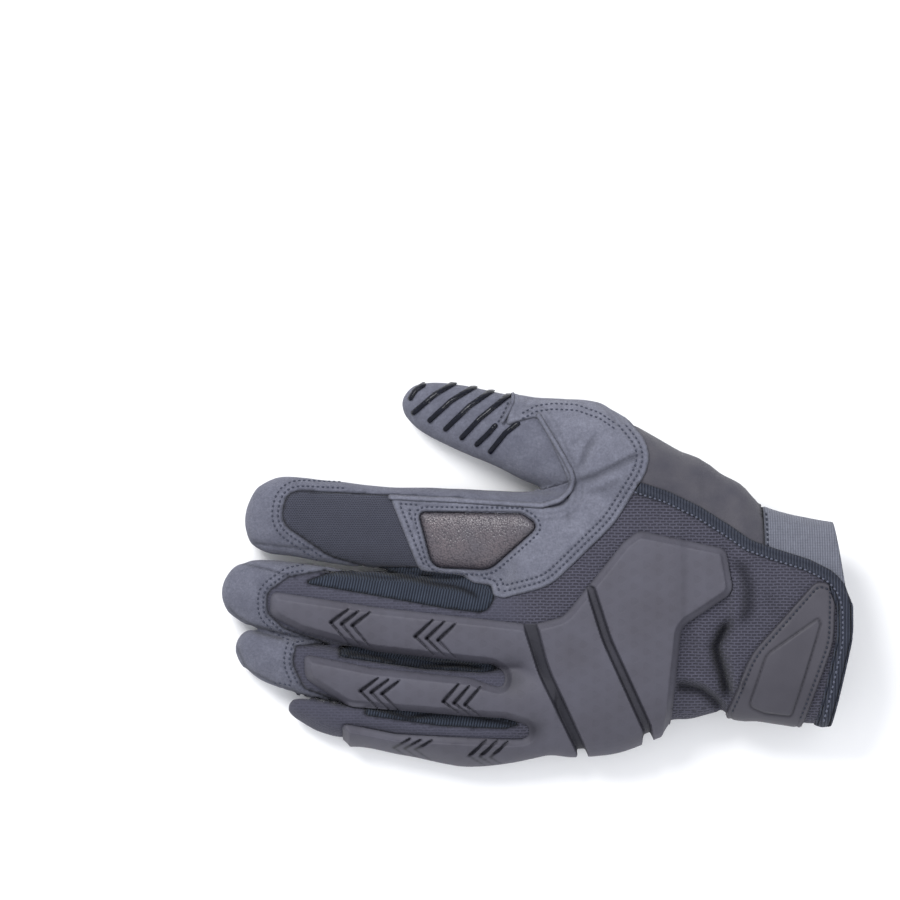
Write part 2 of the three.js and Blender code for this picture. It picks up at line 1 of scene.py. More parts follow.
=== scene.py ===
"""The looks of the left-hand work glove: a sewn shell, its patches, the knuckle guard and the wrist closure.

The form is worked out as distance fields in millimetres, in the pattern's frame: x = 0 near the cuff's
end, the fingers towards -X, the thumb towards +Y and z = 0 where the glove lies. Each piece is a field
that is zero on its surface, which becomes a mesh in metres in the row's frame.
"""

import math

import bpy
import numpy as np
import openvdb
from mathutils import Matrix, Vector


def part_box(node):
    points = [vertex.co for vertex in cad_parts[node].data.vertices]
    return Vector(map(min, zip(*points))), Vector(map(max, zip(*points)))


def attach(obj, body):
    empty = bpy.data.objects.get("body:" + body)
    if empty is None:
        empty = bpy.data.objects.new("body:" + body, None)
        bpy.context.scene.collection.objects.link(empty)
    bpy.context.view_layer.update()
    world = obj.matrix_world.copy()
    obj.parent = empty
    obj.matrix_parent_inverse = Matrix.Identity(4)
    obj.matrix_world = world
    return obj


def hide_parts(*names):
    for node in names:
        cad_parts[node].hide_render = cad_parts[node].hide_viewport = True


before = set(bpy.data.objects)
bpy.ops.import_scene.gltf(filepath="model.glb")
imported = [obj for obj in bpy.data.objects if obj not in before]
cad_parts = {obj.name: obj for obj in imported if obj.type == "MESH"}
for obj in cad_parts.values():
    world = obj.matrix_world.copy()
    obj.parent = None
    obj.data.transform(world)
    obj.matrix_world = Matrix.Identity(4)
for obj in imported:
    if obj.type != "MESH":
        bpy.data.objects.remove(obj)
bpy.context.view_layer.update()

MM = 0.001
WALL = 1.8
SEAM_GAP = 0.04
STEP = 0.5
BAND = 10  # voxels on each side of a surface in which its distances are right
LOW = np.array([-252.0, -56.0, -4.0])
HIGH = np.array([6.0, 106.0, 48.0])
COUNT = np.round((HIGH - LOW) / STEP).astype(int)
LOOP_PATCH_CORNER = Vector((-50, -20, 0))
loop_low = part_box("loop_patch")[0]
SHIFT = Vector((loop_low.x / MM - LOOP_PATCH_CORNER.x, loop_low.y / MM - LOOP_PATCH_CORNER.y, 0))

X = (LOW[0] + STEP * np.arange(COUNT[0])).astype(np.float32)
Y = (LOW[1] + STEP * np.arange(COUNT[1])).astype(np.float32)
Z = (LOW[2] + STEP * np.arange(COUNT[2])).astype(np.float32)
PX, PY = np.meshgrid(X, Y, indexing="ij")

# The form's cross-sections: x, y, z, half its width, half its height, roll and yaw

FORM = {
    "hand": {"power": 2.5, "underside": 2.0, "rows": [
        [-133, 7, 12.4, 44, 9, 7, 8],
        [-125, 7.5, 15, 49, 14, 7, 8],
        [-112, 7.8, 16.6, 50.6, 16.6, 7, 5],
        [-96, 9, 17.4, 50.4, 17.8, 7, 2],
        [-78, 12, 18, 47.5, 18.3, 6, 0],
        [-70, 14.5, 18.6, 46, 18, 6, 0],
        [-64, 20, 19, 51, 16.6, 5, 0],
        [-57, 20, 19.5, 49.6, 18, 5, 0],
        [-50, 18.2, 21.2, 46.5, 16.4, 5, 0],
        [-43, 15.6, 22.4, 45.3, 18, 5, 0],
        [-35, 11.4, 22.4, 41.4, 17.2, 5, 0],
        [-20, 8, 22.6, 40.2, 17.7, 5, 0],
        [5, 5.5, 22.6, 38.5, 18, 5, 0],
    ]},
    "index": {"power": 2.3, "underside": 0.9, "rows": [
        [-235.8, 48.2, 9.4, 4, 3, 4, -6],
        [-232, 48.3, 8.8, 11.5, 6.8, 4, -6],
        [-223, 48.4, 9.4, 15.2, 8.9, 4, -6],
        [-206, 46.3, 10.2, 15.8, 9.7, 4, -7],
        [-186, 43.8, 11.1, 16.3, 10.1, 4, -7],
        [-160, 41.6, 13, 17.7, 11, 4, -6],
        [-118, 39, 17.4, 18, 12.5, 6, 0],
    ]},
    "middle": {"power": 2.3, "underside": 0.9, "rows": [
        [-244.8, 19.9, 9.4, 3.4, 2.8, 5, -9],
        [-241, 19.4, 8.7, 9.4, 6.6, 5, -9],
        [-231, 17.7, 9.7, 13.4, 9.1, 5, -9],
        [-215, 15, 10.5, 14.7, 9.9, 5, -9],
        [-193, 11.6, 11.5, 15.4, 10.4, 5, -9],
        [-178, 10.4, 12.4, 16.9, 10.9, 5, -8],
        [-162, 8, 13.6, 16.6, 11.4, 6, -6],
        [-118, 4, 18, 15.5, 13, 7, 0],
    ]},
    "ring": {"power": 2.3, "underside": 0.9, "rows": [
        [-239.5, -2.8, 9, 3, 2.8, 22, -9],
        [-236, -3.8, 8.7, 7.4, 6, 22, -9],
        [-227, -7.1, 9.3, 9.9, 8, 24, -9],
        [-212, -11.2, 10, 10.9, 8.8, 25, -9],
        [-193, -15.2, 10.7, 11.2, 9.2, 25, -8],
        [-162, -20, 12.4, 10.9, 10.2, 24, -5],
        [-116, -22, 16, 12.5, 11.6, 15, 0],
    ]},
    "pinky": {"power": 2.2, "underside": 0.9, "rows": [
        [-218.4, -26.6, 9.4, 2.6, 2, 62, -9],
        [-215, -27.5, 9.7, 6, 3.5, 64, -9],
        [-206, -30.4, 10.1, 9.4, 5.2, 64, -9],
        [-198, -32, 10.4, 9.8, 5.7, 64, -9],
        [-190, -32.4, 10.6, 9.9, 5.3, 65, -9],
        [-172, -35.4, 11.1, 10, 5.4, 64, -8],
        [-150, -38, 12, 10.4, 6.4, 56, -4],
        [-114, -32, 14, 9, 8, 30, 0],
    ]},
    "thumb": {"power": 2.2, "underside": 0.9, "rows": [
        [-173, 95, 9, 3.2, 2.6, 6, -29],
        [-170, 93.8, 9, 7, 4.8, 6, -29],
        [-162, 90.8, 9.8, 10.8, 7.3, 6, -29],
        [-148, 86.2, 11.2, 13.2, 9.3, 6, -29],
        [-132, 81, 12.9, 14.8, 10.9, 6, -27],
        [-118, 77.2, 15, 17.2, 12.8, 6, -23],
        [-105, 74.4, 17.4, 18.2, 15, 6, -17],
        [-90, 67.4, 19.4, 18.2, 16.8, 6, -8],
        [-60, 54, 21.4, 16, 15, 6, 0],
    ]},
}

# Outlines seen from above: corners as x, y and the radius that rounds each

OUTLINES = {
    "fourchette_index_middle": [
        [-214, 22.3, 1], [-204, 25.8, 6], [-183, 28.4, 6], [-160, 28.2, 6], [-140, 21.6, 3],
        [-138.4, 17, 5], [-142, 10.6, 6], [-157, 12.4, 8], [-184, 17.2, 8],
    ],
    "fourchette_middle_ring": [
        [-199, -2.4, 1], [-166, -4.6, 8], [-144, -6.6, 6], [-136.4, -11.4, 3], [-143, -12.6, 5],
        [-166, -11.4, 8], [-199, -6.6, 1],
    ],
    "fourchette_ring_pinky": [
        [-189, -26, 1], [-160, -27.6, 6], [-140, -28.4, 6], [-128, -32.4, 3], [-134, -34.6, 4],
        [-160, -33.4, 8], [-189, -29.4, 1],
    ],
    "index_panel": [
        [-220, 58.5, 9], [-150, 55, 2], [-150, 24, 2], [-181, 26.2, 6], [-203, 32.6, 12], [-222, 45.5, 8],
    ],
    "back_panel": [
        [-205, 27, 2], [-219, 24.6, 4], [-227.4, 18.6, 5], [-227.4, 10.5, 5], [-221, 4.4, 4],
        [-204, -1.5, 2], [-204, -1.6, 0], [-216.2, -2.4, 1], [-217.6, -9, 9], [-213, -19.2, 3],
        [-205, -22, 4], [-194, -26.6, 1], [-204, -24, 2], [-216, -22, 0], [-224, -20.6, 0], [-224, -60, 0],
        [8, -60, 0], [8, 19, 0], [-3.5, 19.5, 4], [-8, 24.7, 6], [-18, 29.7, 10], [-31, 33.8, 10],
        [-41, 37.4, 10], [-60, 50, 20], [-72, 55.8, 10], [-86, 62, 4], [-88, 63, 2], [-100, 50, 4],
        [-150, 44, 4], [-150, 24, 4], [-180, 24, 4],
    ],
    "gusset": [
        [-86, 62, 3], [-72, 55.8, 10], [-60, 50, 20], [-41, 37.4, 10], [-34.3, 35, 1], [-35.4, 60, 1],
        [-60, 90, 2], [-88, 98, 2], [-84, 80, 2],
    ],
    "elastic_top": [
        [-35.4, 70, 0], [-34.3, 35, 0], [-31, 33.8, 4], [-18, 29.7, 10], [-8, 24.7, 6], [-3.5, 19.5, 3],
        [8, 19, 0], [8, 70, 0],
    ],
    "elastic_underside": [[-35.4, 70, 0], [-35.4, 6, 3], [8, 6, 0], [8, 70, 0]],
    "thumb": [
        [-190, 120, 0], [-117, 120, 0], [-108, 62, 4], [-120, 58.6, 1], [-126, 59.6, 1], [-190, 80, 0],
    ],
    "cuff_end": [
        [-300, -90, 0], [-19.5, -90, 0], [-0.4, 2, 40], [-0.5, 14, 5], [-3.4, 21.5, 5], [-7.2, 46, 0],
        [-11, 72, 0], [-11, 130, 0], [-300, 130, 0],
    ],
    "saddle": [
        [-179.5, 56, 1.5], [-105, 51, 9], [-121.4, 87, 3], [-127, 86, 4], [-134.2, 83.6, 1],
        [-133.2, 89, 3], [-131.4, 93, 2], [-131.4, 99, 2], [-97, 98.5, 16], [-75.5, 73, 17], [-92, 46, 40],
        [-117, 21.5, 22], [-134.6, 16.6, 5], [-139, 17.2, 1.5], [-140, 21.3, 1], [-147, 22.4, 4],
        [-151.4, 25.2, 6], [-168, 27, 4],
    ],
    "insert": [
        [-168.4, 50, 2.5], [-128, 49.6, 6], [-121.4, 44.8, 3.5], [-140.6, 27.4, 9], [-162.8, 28.4, 6],
    ],
    "guard": [
        [-225.8, 19, 3], [-183, 12.7, 60], [-124, 6.4, 16], [-112, 9.6, 10], [-89, 38.5, 10], [-83, 43, 5],
        [-49.5, 36, 4], [-46.6, 19, 6], [-66.5, 5.5, 8], [-72.6, -60, 0], [-198, -60, 0], [-198, -32.6, 2],
        [-177, -36.8, 20], [-131, -38.8, 5], [-125.4, -38.3, 3], [-125, -33.2, 3], [-135, -30.4, 8],
        [-150, -29.6, 30], [-196, -26, 12], [-212.6, -15, 6], [-213, -5.4, 2.5], [-186, -10.8, 30],
        [-148, -14.6, 12], [-140.4, -17.2, 5], [-135.4, -18.4, 3.5], [-134.2, -12.8, 4], [-139.6, -9.4, 6],
        [-186, -4.5, 30], [-214, 3.2, 16], [-226.4, 9.6, 5],
    ],
    "tab_top": [
        [-14.5, 24, 5], [-7.4, 21.6, 4], [-7.8, 0, 30], [-19, -33, 6], [-20, -60, 0], [-49, -60, 0],
        [-48.6, -28, 5], [-40, -5, 30],
    ],
    "tab_underside": [[-48.5, -60, 0], [-48.5, 4, 7], [-20.5, 4, 7], [-20.5, -60, 0]],
    "loop_patch": [[-50, -20, 2], [-50, 20, 3], [-19, 20, 3], [-19, -20, 2]],
    "palm_grip": [
        [-157, 50, 6], [-125, 54, 10], [-110.5, 34, 12], [-112, 19, 10], [-125, -4, 20], [-123, -37.5, 5],
        [-140, -37.5, 4], [-141, -27.5, 3], [-137.4, -27, 1.5], [-137.4, -22.5, 1.5], [-157, -21.5, 4],
        [-157, -5, 4], [-141, -4.5, 1.5], [-141, 0.4, 1.5], [-157, 1.4, 4], [-157, 19.5, 4],
        [-142.5, 20, 1.5], [-142.5, 26.5, 1.5], [-157, 28, 4],
    ],
    "thumb_base_pad": [
        [-109, 14, 4], [-107.5, 38.5, 6], [-78, 44, 6], [-57.5, 16, 5], [-58.5, 4, 4], [-104, 1, 4],
    ],
    "heel_pad": [
        [-119, -6, 4], [-110, -2.4, 4], [-60.5, -2, 4], [-59, -17, 5], [-99, -32, 8], [-116, -31, 5],
    ],
}
SIDE_SEAM = [[-300, 6.5], [-190, 6.5], [-120, 8.5], [-70, 11], [30, 17.6]]
GUARD_GROOVES = [
    [
        [-129, 12, 0], [-124, 12, 0], [-118.5, -10, 60], [-103.2, -43, 0], [-101, -60, 0], [-105, -60, 0],
        [-105.4, -45, 0], [-121, -13, 60],
    ],
    [
        [-103.4, 22, 0], [-100.6, 21, 0], [-94.2, 1, 60], [-78.4, -33, 0], [-74, -60, 0], [-79, -60, 0],
        [-80.4, -35, 0], [-96.6, 0.5, 60],
    ],
]
SLIT_BINDING = [
    [-83.5, 59.5], [-72, 55.8], [-60, 50], [-49, 43], [-41, 37.4], [-31, 33.8], [-18, 29.7], [-9.5, 25.4],
    [-5.2, 20.6], [-3.7, 14], [-3.5, 2], [-12.3, -40], [-15, -53],
]
BINDING_WIDTH = 4.7
CUFF_BINDING_WIDTH = 6.2
THUMB_STRIPES = [
    [[-170.4, 88.6], [-161.7, 96], [-152.8, 101.4]], [[-164, 85.6], [-155.5, 93.4], [-143.2, 101]],
    [[-157.8, 82.2], [-148.5, 91.2], [-136.9, 99.4]], [[-151.5, 78.8], [-144.3, 86.5], [-132, 96.6]],
    [[-145.6, 76.2], [-141.6, 80], [-138.4, 83.6]], [[-140.3, 73.4], [-134.6, 80.6], [-129.6, 84.6]],
]
THUMB_TIP_STRIPE = [[-171.6, 94.4], [-169.6, 97.6], [-166.4, 99.8]]
STRIPE_WIDTH = 2.0
WELT = [
    [-179.1, 55.8], [-168, 55.2], [-156.8, 54.8], [-138, 53.6], [-120.6, 52.6], [-113.6, 54.6],
    [-109.4, 58.4], [-108.1, 62.4], [-109.2, 66], [-111.6, 70.6], [-116.5, 79], [-121.6, 87.6],
]
WELT_WIDTH = 2.1
TIP_PAD_EDGE = [
    [-139, 102.4], [-134, 100.4], [-131.2, 96.9], [-131.6, 92.8], [-133.3, 89.2], [-135.6, 85.2],
]
TIP_PAD_ROLL = 1.5
THUMB_TOP_ROW = [[-128, 88.4], [-122.5, 91.4], [-116, 92.2], [-107, 91.8], [-98, 88.6], [-91.6, 84.2]]
INDEX_STRIPES = {"first": -230.5, "step": 5.4, "count": 6, "low": 32, "high": 65, "width": 2.2}

# Chevrons on the guard's bars: the first tip, how far its arms reach, rise and drop, and the step to
# the next of the three nested in each group
CHEVRONS = [
    [-202.4, 7, 6.9, 5.2, 8.4, 4.2, -0.6], [-169.5, 1.6, 7, 6.6, 7, 4.4, -0.7],
    [-190.9, -19.8, 6.8, 5.1, 6.9, 4.2, -0.5], [-158.6, -23.7, 6, 6.9, 4.6, 4.2, -0.6],
    [-178, -42.2, 6.6, 3.7, 5, 4.2, -0.3], [-148.6, -45.2, 6.8, 6.3, 4.6, 4.2, -0.3],
]
CHEVRONS_EACH = 3


def monotone(at, values, places):
    """A smooth curve through a table's column that never overshoots it."""
    at, values = np.asarray(at, float), np.asarray(values, float)
    gap = np.diff(at)
    slope = np.diff(values) / gap
    tangent = np.zeros(len(at))
    both = slope[:-1] * slope[1:] > 0
    tangent[1:-1][both] = 2 * slope[:-1][both] * slope[1:][both] / (slope[:-1] + slope[1:])[both]
    tangent[0], tangent[-1] = slope[0], slope[-1]
    i = np.clip(np.searchsorted(at, places, side="right") - 1, 0, len(gap) - 1)
    t = (places - at[i]) / gap[i]
    return (
        (2 * t**3 - 3 * t**2 + 1) * values[i]
        + (t**3 - 2 * t**2 + t) * gap[i] * tangent[i]
        + (3 * t**2 - 2 * t**3) * values[i + 1]
        + (t**3 - t**2) * gap[i] * tangent[i + 1]
    )


def softened_max(a, b, width):
    """The larger of two values, with a rounded corner of that width where they cross."""
    blend = np.clip(0.5 + 0.5 * (a - b) / width, 0, 1)
    return b + (a - b) * blend + width * blend * (1 - blend)


def softened_min(a, b, width):
    return -softened_max(-a, -b, width)


def loft(part, count=110, sides=84):
    """The points and faces of a smooth closed skin through a part's cross-sections."""
    rows = np.array(part["rows"], float)
    start = rows[0].copy()
    growth = (rows[1, 3] ** 2 - rows[0, 3] ** 2) / (rows[1, 0] - rows[0, 0])
    start[0] -= rows[0, 3] ** 2 / growth
    start[3] = start[4] = 0.02
    rows = np.vstack([start, rows])
    rows[:, 3:5] **= 2
    share = np.linspace(0, 1, count)
    places = rows[0, 0] + (rows[-1, 0] - rows[0, 0]) * (0.25 * share + 0.75 * share**2)
    x, y, z, a, b, roll, yaw = (monotone(rows[:, 0], column, places)[:, None] for column in rows.T)
    a, b = np.sqrt(np.maximum(a, 1e-4)), np.sqrt(np.maximum(b, 1e-4))
    roll, yaw = np.radians(roll), np.radians(yaw)
    angle = 2 * np.pi * (np.arange(sides) + 0.5) / sides
    c, s = np.cos(angle)[None, :], np.sin(angle)[None, :]
    power = 2 / part["power"]
    u = a * np.sign(c) * np.abs(c) ** power
    v = b * np.sign(s) * np.abs(s) ** power
    across = u * np.cos(roll) - v * np.sin(roll)
    up = u * np.sin(roll) + v * np.cos(roll)
    height = softened_max(z + up, np.float64(part["underside"]), 2.0)
    points = np.stack([x - across * np.sin(yaw), y + across * np.cos(yaw), height], -1).reshape(-1, 3)
    points = np.vstack([points, *([x[k, 0], y[k, 0], z[k, 0]] for k in (0, -1))])
    k = np.arange(sides)
    after = (k + 1) % sides
    faces = []
    for i in range(count - 1):
        a, b = i * sides + k, i * sides + after
        faces.append(np.stack([a, b, a + sides], -1))
        faces.append(np.stack([b, b + sides, a + sides], -1))
    tip, end, last = count * sides, count * sides + 1, (count - 1) * sides
    faces.append(np.stack([np.full(sides, tip), after, k], -1))
    faces.append(np.stack([np.full(sides, end), last + k, last + after], -1))
    return points, np.vstack(faces)


def distance_field(points, faces):
    """Distances from a closed skin on the whole grid, negative inside it."""
    transform = openvdb.createLinearTransform(voxelSize=STEP)
    grid = openvdb.FloatGrid.createLevelSetFromPolygons(
        (points - LOW).astype(np.float32),
        triangles=faces.astype(np.uint32),
        transform=transform,
        halfWidth=BAND,
    )
    field = np.empty(COUNT, np.float32)
    grid.copyToArray(field)
    return field


def rounded(corners, steps=6):
    """A corner table as a closed line of points, with an arc at each rounded corner."""
    table = np.array(corners, float)
    points = []
    for i, (x, y, radius) in enumerate(table):
        corner = np.array([x, y])
        before = table[i - 1, :2] - corner
        after = table[(i + 1) % len(table), :2] - corner
        lengths = np.linalg.norm(before), np.linalg.norm(after)
        cosine = np.clip(before @ after / (lengths[0] * lengths[1]), -1, 1)
        half = math.acos(cosine) / 2
        reach = min(radius / math.tan(half), lengths[0] / 2, lengths[1] / 2)
        if reach < 0.05:
            points.append(corner)
            continue
        start = corner + before / lengths[0] * reach
        end = corner + after / lengths[1] * reach
        for t in np.linspace(0, 1, steps + 1):
            points.append((1 - t) ** 2 * start + 2 * t * (1 - t) * corner + t * t * end)
    return np.array(points)


def line_distance(points, closed=False, reach=14.0):
    """Distance in plan from a line of points, right up to a reach."""
    ends = np.roll(points, -1, axis=0) if closed else points[1:]
    starts = points if closed else points[:-1]
    field = np.full(PX.shape, reach, np.float32)
    for (x0, y0), (x1, y1) in zip(starts, ends):
        i0, i1 = np.searchsorted(X, [min(x0, x1) - reach, max(x0, x1) + reach])
        j0, j1 = np.searchsorted(Y, [min(y0, y1) - reach, max(y0, y1) + reach])
        if i1 <= i0 or j1 <= j0:
            continue
        px, py = PX[i0:i1, j0:j1] - x0, PY[i0:i1, j0:j1] - y0
        dx, dy = x1 - x0, y1 - y0
        t = np.clip((px * dx + py * dy) / max(dx * dx + dy * dy, 1e-9), 0, 1)
        near = np.hypot(px - t * dx, py - t * dy)
        field[i0:i1, j0:j1] = np.minimum(field[i0:i1, j0:j1], near)
    return field


def inside(points):
    """Where the plan grid is inside a closed line."""
    result = np.zeros(PX.shape, bool)
    for (x0, y0), (x1, y1) in zip(points, np.roll(points, -1, axis=0)):
        if y0 == y1:
            continue
        crosses = (Y > min(y0, y1)) & (Y <= max(y0, y1))
        at = x0 + (Y - y0) * (x1 - x0) / (y1 - y0)
        result ^= crosses[None, :] & (PX < at[None, :])
    return result


def plan(corners):
    """Signed distance in plan from an outline, negative inside it."""
    points = rounded(corners)
    away = line_distance(points, closed=True)
    return np.where(inside(points), -away, away)


def smoothstep(low, high, value):
    t = np.clip((value - low) / (high - low), 0, 1)
    return t * t * (3 - 2 * t)


def volume(values):
    """A plan field as a thin volume that broadcasts over the height."""
    return values[:, :, None]


def undulation(spacing, seed):
    """Smooth seeded waves over the plan, from about -1 to 1, at a spacing in millimetres."""
    random = np.random.default_rng(seed)
    columns = int((HIGH[0] - LOW[0]) / spacing) + 4
    rows = int((HIGH[1] - LOW[1]) / spacing) + 4
    knots = random.uniform(-1, 1, (columns, rows))

    def spread(table, places):
        i = np.floor(places).astype(int)
        t = places - i
        weights = [(1 - t) ** 3, 3 * t**3 - 6 * t**2 + 4, -3 * t**3 + 3 * t**2 + 3 * t + 1, t**3]
        return sum(weight[:, None] / 6 * table[i + k] for k, weight in enumerate(weights))

    along = spread(knots, (X - LOW[0]) / spacing)
    return (1.6 * spread(along.T, (Y - LOW[1]) / spacing).T).astype(np.float32)


def fold(points, width, height, taper=6.0):
    """A ridge, or a valley where the height is negative, along a line, faded at its ends."""
    points = np.array(points, float)
    away = line_distance(points, reach=4 * width)
    first, last = points[0], points[-1]
    lead = points[1] - points[0]
    trail = points[-1] - points[-2]
    into = ((PX - first[0]) * lead[0] + (PY - first[1]) * lead[1]) / np.hypot(*lead)
    left = ((last[0] - PX) * trail[0] + (last[1] - PY) * trail[1]) / np.hypot(*trail)
    fade = smoothstep(-width, taper, into) * smoothstep(-width, taper, left)
    return (height * np.exp(-((away / width) ** 2)) * fade).astype(np.float32)


def ridge(distance, width, height):
    """A rounded line around distance 0, as a height or as how much painted shade it carries."""
    return height * np.exp(-((distance / width) ** 2))


# The form

BETWEEN_FINGERS = 1.2  # how widely the form's parts run into each other
FINGERS_TO_HAND = 2.5
THUMB_TO_HAND = 4.0
parts = {name: distance_field(*loft(part)) for name, part in FORM.items()}
fingers = parts["index"]
for name in ("middle", "ring", "pinky"):
    fingers = softened_min(fingers, parts[name], BETWEEN_FINGERS)
form = softened_min(parts["hand"], fingers, FINGERS_TO_HAND)
form = softened_min(form, parts["thumb"], THUMB_TO_HAND)
del fingers, parts

plans = {name: plan(corners) for name, corners in OUTLINES.items()}
seam_height = np.interp(X, *np.array(SIDE_SEAM).T).astype(np.float32)

# Folds as a line, its width and its height, and lines of creases and seams

TOP_FOLDS = [
    ([[-46.5, 32], [-42.4, 27], [-40.4, 21], [-40.4, 13], [-43, 6]], 2.4, -2.4),
    ([[-49.5, 26], [-46.2, 18], [-45.4, 11], [-47, 4]], 2.2, 1.6),
    ([[-47, 9], [-50.6, 3.4], [-53, -2], [-51.9, -7], [-50.2, -12], [-47.4, -23]], 2.0, -4.2),
    ([[-45.6, 2], [-47, -4], [-45.6, -12], [-43.4, -21]], 2.4, 1.9),
    ([[-59.5, 6], [-58.6, -4], [-56.4, -13]], 3.0, 1.5),
    ([[-70.5, -16.6], [-64, -18.2], [-58.4, -19.4], [-54, -22.4], [-48.6, -27.6]], 2.0, -3.2),
    ([[-65, -13.4], [-58.6, -15.2], [-53.4, -18.6], [-49.6, -23]], 1.9, 1.6),
    ([[-58, 30], [-52, 35], [-46, 36]], 2.0, -0.7), ([[-34, 20], [-30, 12], [-25, 7]], 2.2, -0.7),
]
SADDLE_FOLDS = [
    ([[-108.1, 61], [-99.7, 63.8], [-87.9, 69.8], [-80, 73.4]], 1.3, -1.4),
    ([[-107, 57.4], [-98, 60], [-88, 65.6]], 1.8, 0.8),
    ([[-107.4, 65], [-104.6, 69.1], [-103, 74], [-98.5, 81]], 1.3, -1.1),
    ([[-111.6, 73.6], [-107.4, 77], [-103.9, 80.4]], 0.9, -0.5),
    ([[-110.6, 53.4], [-110, 50], [-110.4, 44]], 1.2, -1.0),
    ([[-113.4, 52.6], [-114.4, 49], [-115, 46]], 0.8, -0.4),
]
FINGER_CREASES = [
    [
        [-186, 27.8], [-175.8, 25.2], [-162.3, 22], [-154.8, 20.9], [-150.3, 19.7], [-146.9, 18.2],
        [-144.3, 15.6],
    ],
    [[-199, -5], [-184.5, -7], [-171.9, -10.2], [-163.5, -10.5], [-153, -9.8], [-142, -11.4]],
    [
        [-197, -24.2], [-186.6, -26.3], [-171.9, -30.5], [-163.5, -28.9], [-151.6, -29.1], [-143.2, -30.5],
        [-134.1, -32.2], [-129, -34],
    ],
]
TIP_SEAMS = [
    [[-232.3, 37.8], [-224.7, 36.8], [-208.3, 35.2], [-203.2, 33.3]],
    [[-237.4, 29.8], [-227.9, 27.6], [-218.4, 25.1], [-215.8, 23.8]],
    [[-242.8, 12.4], [-238.7, 8.6], [-234.3, 6.0], [-224.7, 2.9], [-210, 0]],
    [[-234.2, 5.4], [-231.7, 2.9], [-221.5, 0.35]],
    [[-239.3, -3.5], [-235.5, -11.7], [-222.8, -18.1], [-215.8, -20.6]],
]
# Painted shade: the valleys of folds, the creases between fingers and the seam grooves are darkened in colour
# where shade falls
FOLD_PAINTED_SHADE = 0.24  # for each millimetre of depth
DEEPEST_FOLD_SHADE = 0.85
CREASE_WIDTH = 0.9
CREASE_DEPTH = 0.6
free = smoothstep(-0.5, 1.5, plans["guard"])
top = (0.3 + 0.7 * free) * (0.35 * undulation(14, 3) + 0.12 * undulation(5, 4))
top_painted_shade = np.zeros(PX.shape, np.float32)
for points, width, height in TOP_FOLDS + SADDLE_FOLDS:
    one = free * fold(points, width, height)
    top = top + one
    top_painted_shade = np.maximum(top_painted_shade, np.clip(-one * FOLD_PAINTED_SHADE, 0, DEEPEST_FOLD_SHADE))
fold_painted_shade = top_painted_shade
# Painted shade in the creases between the fingers
for points in FINGER_CREASES:
    crease = fold(points, CREASE_WIDTH, 1.0, 4.0)
    top = top - CREASE_DEPTH * free * crease
    top_painted_shade = np.maximum(top_painted_shade, crease)
FOURCHETTES = [name for name in OUTLINES if name.startswith("fourchette")]
covered = np.minimum.reduce([plans[name] for name in ("saddle", "guard", "tab_top")])
bare = smoothstep(-1.6, -0.2, covered)
panel_seams = [plans[name] for name in ("index_panel", "gusset", "elastic_top", *FOURCHETTES, "back_panel")]
tip_seams = [line_distance(np.array(points), reach=4.0) for points in TIP_SEAMS]
# Painted shade along the seam grooves
for seams, share, width, depth, shade_width, shade_amount in (
    (panel_seams, bare, 0.8, 0.5, 0.42, 0.75),
    (tip_seams, 1, 0.6, 0.45, 0.4, 0.6),
):
    for away in seams:
        top = top - share * ridge(away, width, depth)
        top_painted_shade = np.maximum(top_painted_shade, share * ridge(away, shade_width, shade_amount))
elastic_seam = plans["elastic_underside"]
under = 0.35 * undulation(16, 8) + 0.15 * undulation(6, 9) - ridge(elastic_seam, 0.8, 0.5)
# Painted shade along the elastic's seam groove on the underside
under_painted_shade = ridge(elastic_seam, 0.45, 0.7)
over_seam = (Z[None, :] - seam_height[:, None]).astype(np.float32)[:, None, :]
above = smoothstep(-2.5, 2.5, over_seam)
form -= above * volume(top.astype(np.float32)) + (1 - above) * volume(under.astype(np.float32))
form += ridge(over_seam, 0.9, 0.4)
del above


# Meshes


def sampled(values, at):
    """A grid's values between its samples, at places counted in steps along its first axes."""
    axes = at.shape[1]
    at = np.clip(at, 0, np.array(values.shape[:axes]) - 1.001)
    whole = at.astype(int)
    t = at - whole
    total = 0.0
    for corner in np.ndindex(*(2,) * axes):
        near = np.array(corner)
        weight = np.prod(np.where(near, t, 1 - t), axis=1)
        weight = weight.reshape(-1, *[1] * (values.ndim - axes))
        total = total + weight * values[tuple((whole + near).T)]
    return total


def slope(values, at, reach=0.35):
    """How a grid's values change along each axis, per step."""
    moves = np.eye(at.shape[1]) * reach
    return np.stack([(sampled(values, at + m) - sampled(values, at - m)) / (2 * reach) for m in moves], -1)


def crosses_zero(values, cells):
    """Which cells have both signs of a value at their corners."""
    lowest = np.full(len(cells), 1e9)
    highest = -lowest
    for corner in np.ndindex(2, 2, 2):
        value = values[tuple((cells + np.array(corner)).T)]
        lowest, highest = np.minimum(lowest, value), np.maximum(highest, value)
    return (lowest < 0) & (highest > 0)


def sharpened(at, creases):
    """Points in the cells where two surfaces meet, moved onto the line where they do."""
    for one, other in creases:
        cells = np.clip(np.floor(at).astype(int), 0, np.array(one.shape) - 2)
        meets = crosses_zero(one, cells) & crosses_zero(other, cells)
        moved, home = at[meets], cells[meets]
        for _ in range(7):
            for values in (one, other):
                away, rise = sampled(values, moved), slope(values, moved)
                steep = np.maximum((rise**2).sum(axis=1), 1e-3)
                moved = moved - np.clip(away / steep, -1, 1)[:, None] * rise
            moved = np.clip(moved, home - 0.1, home + 1.1)
        at[meets] = moved
    return at


def plan_values(values, points):
    """A plan field's values at points in millimetres."""
    return sampled(values, (points[:, :2] - LOW[:2]) / STEP)


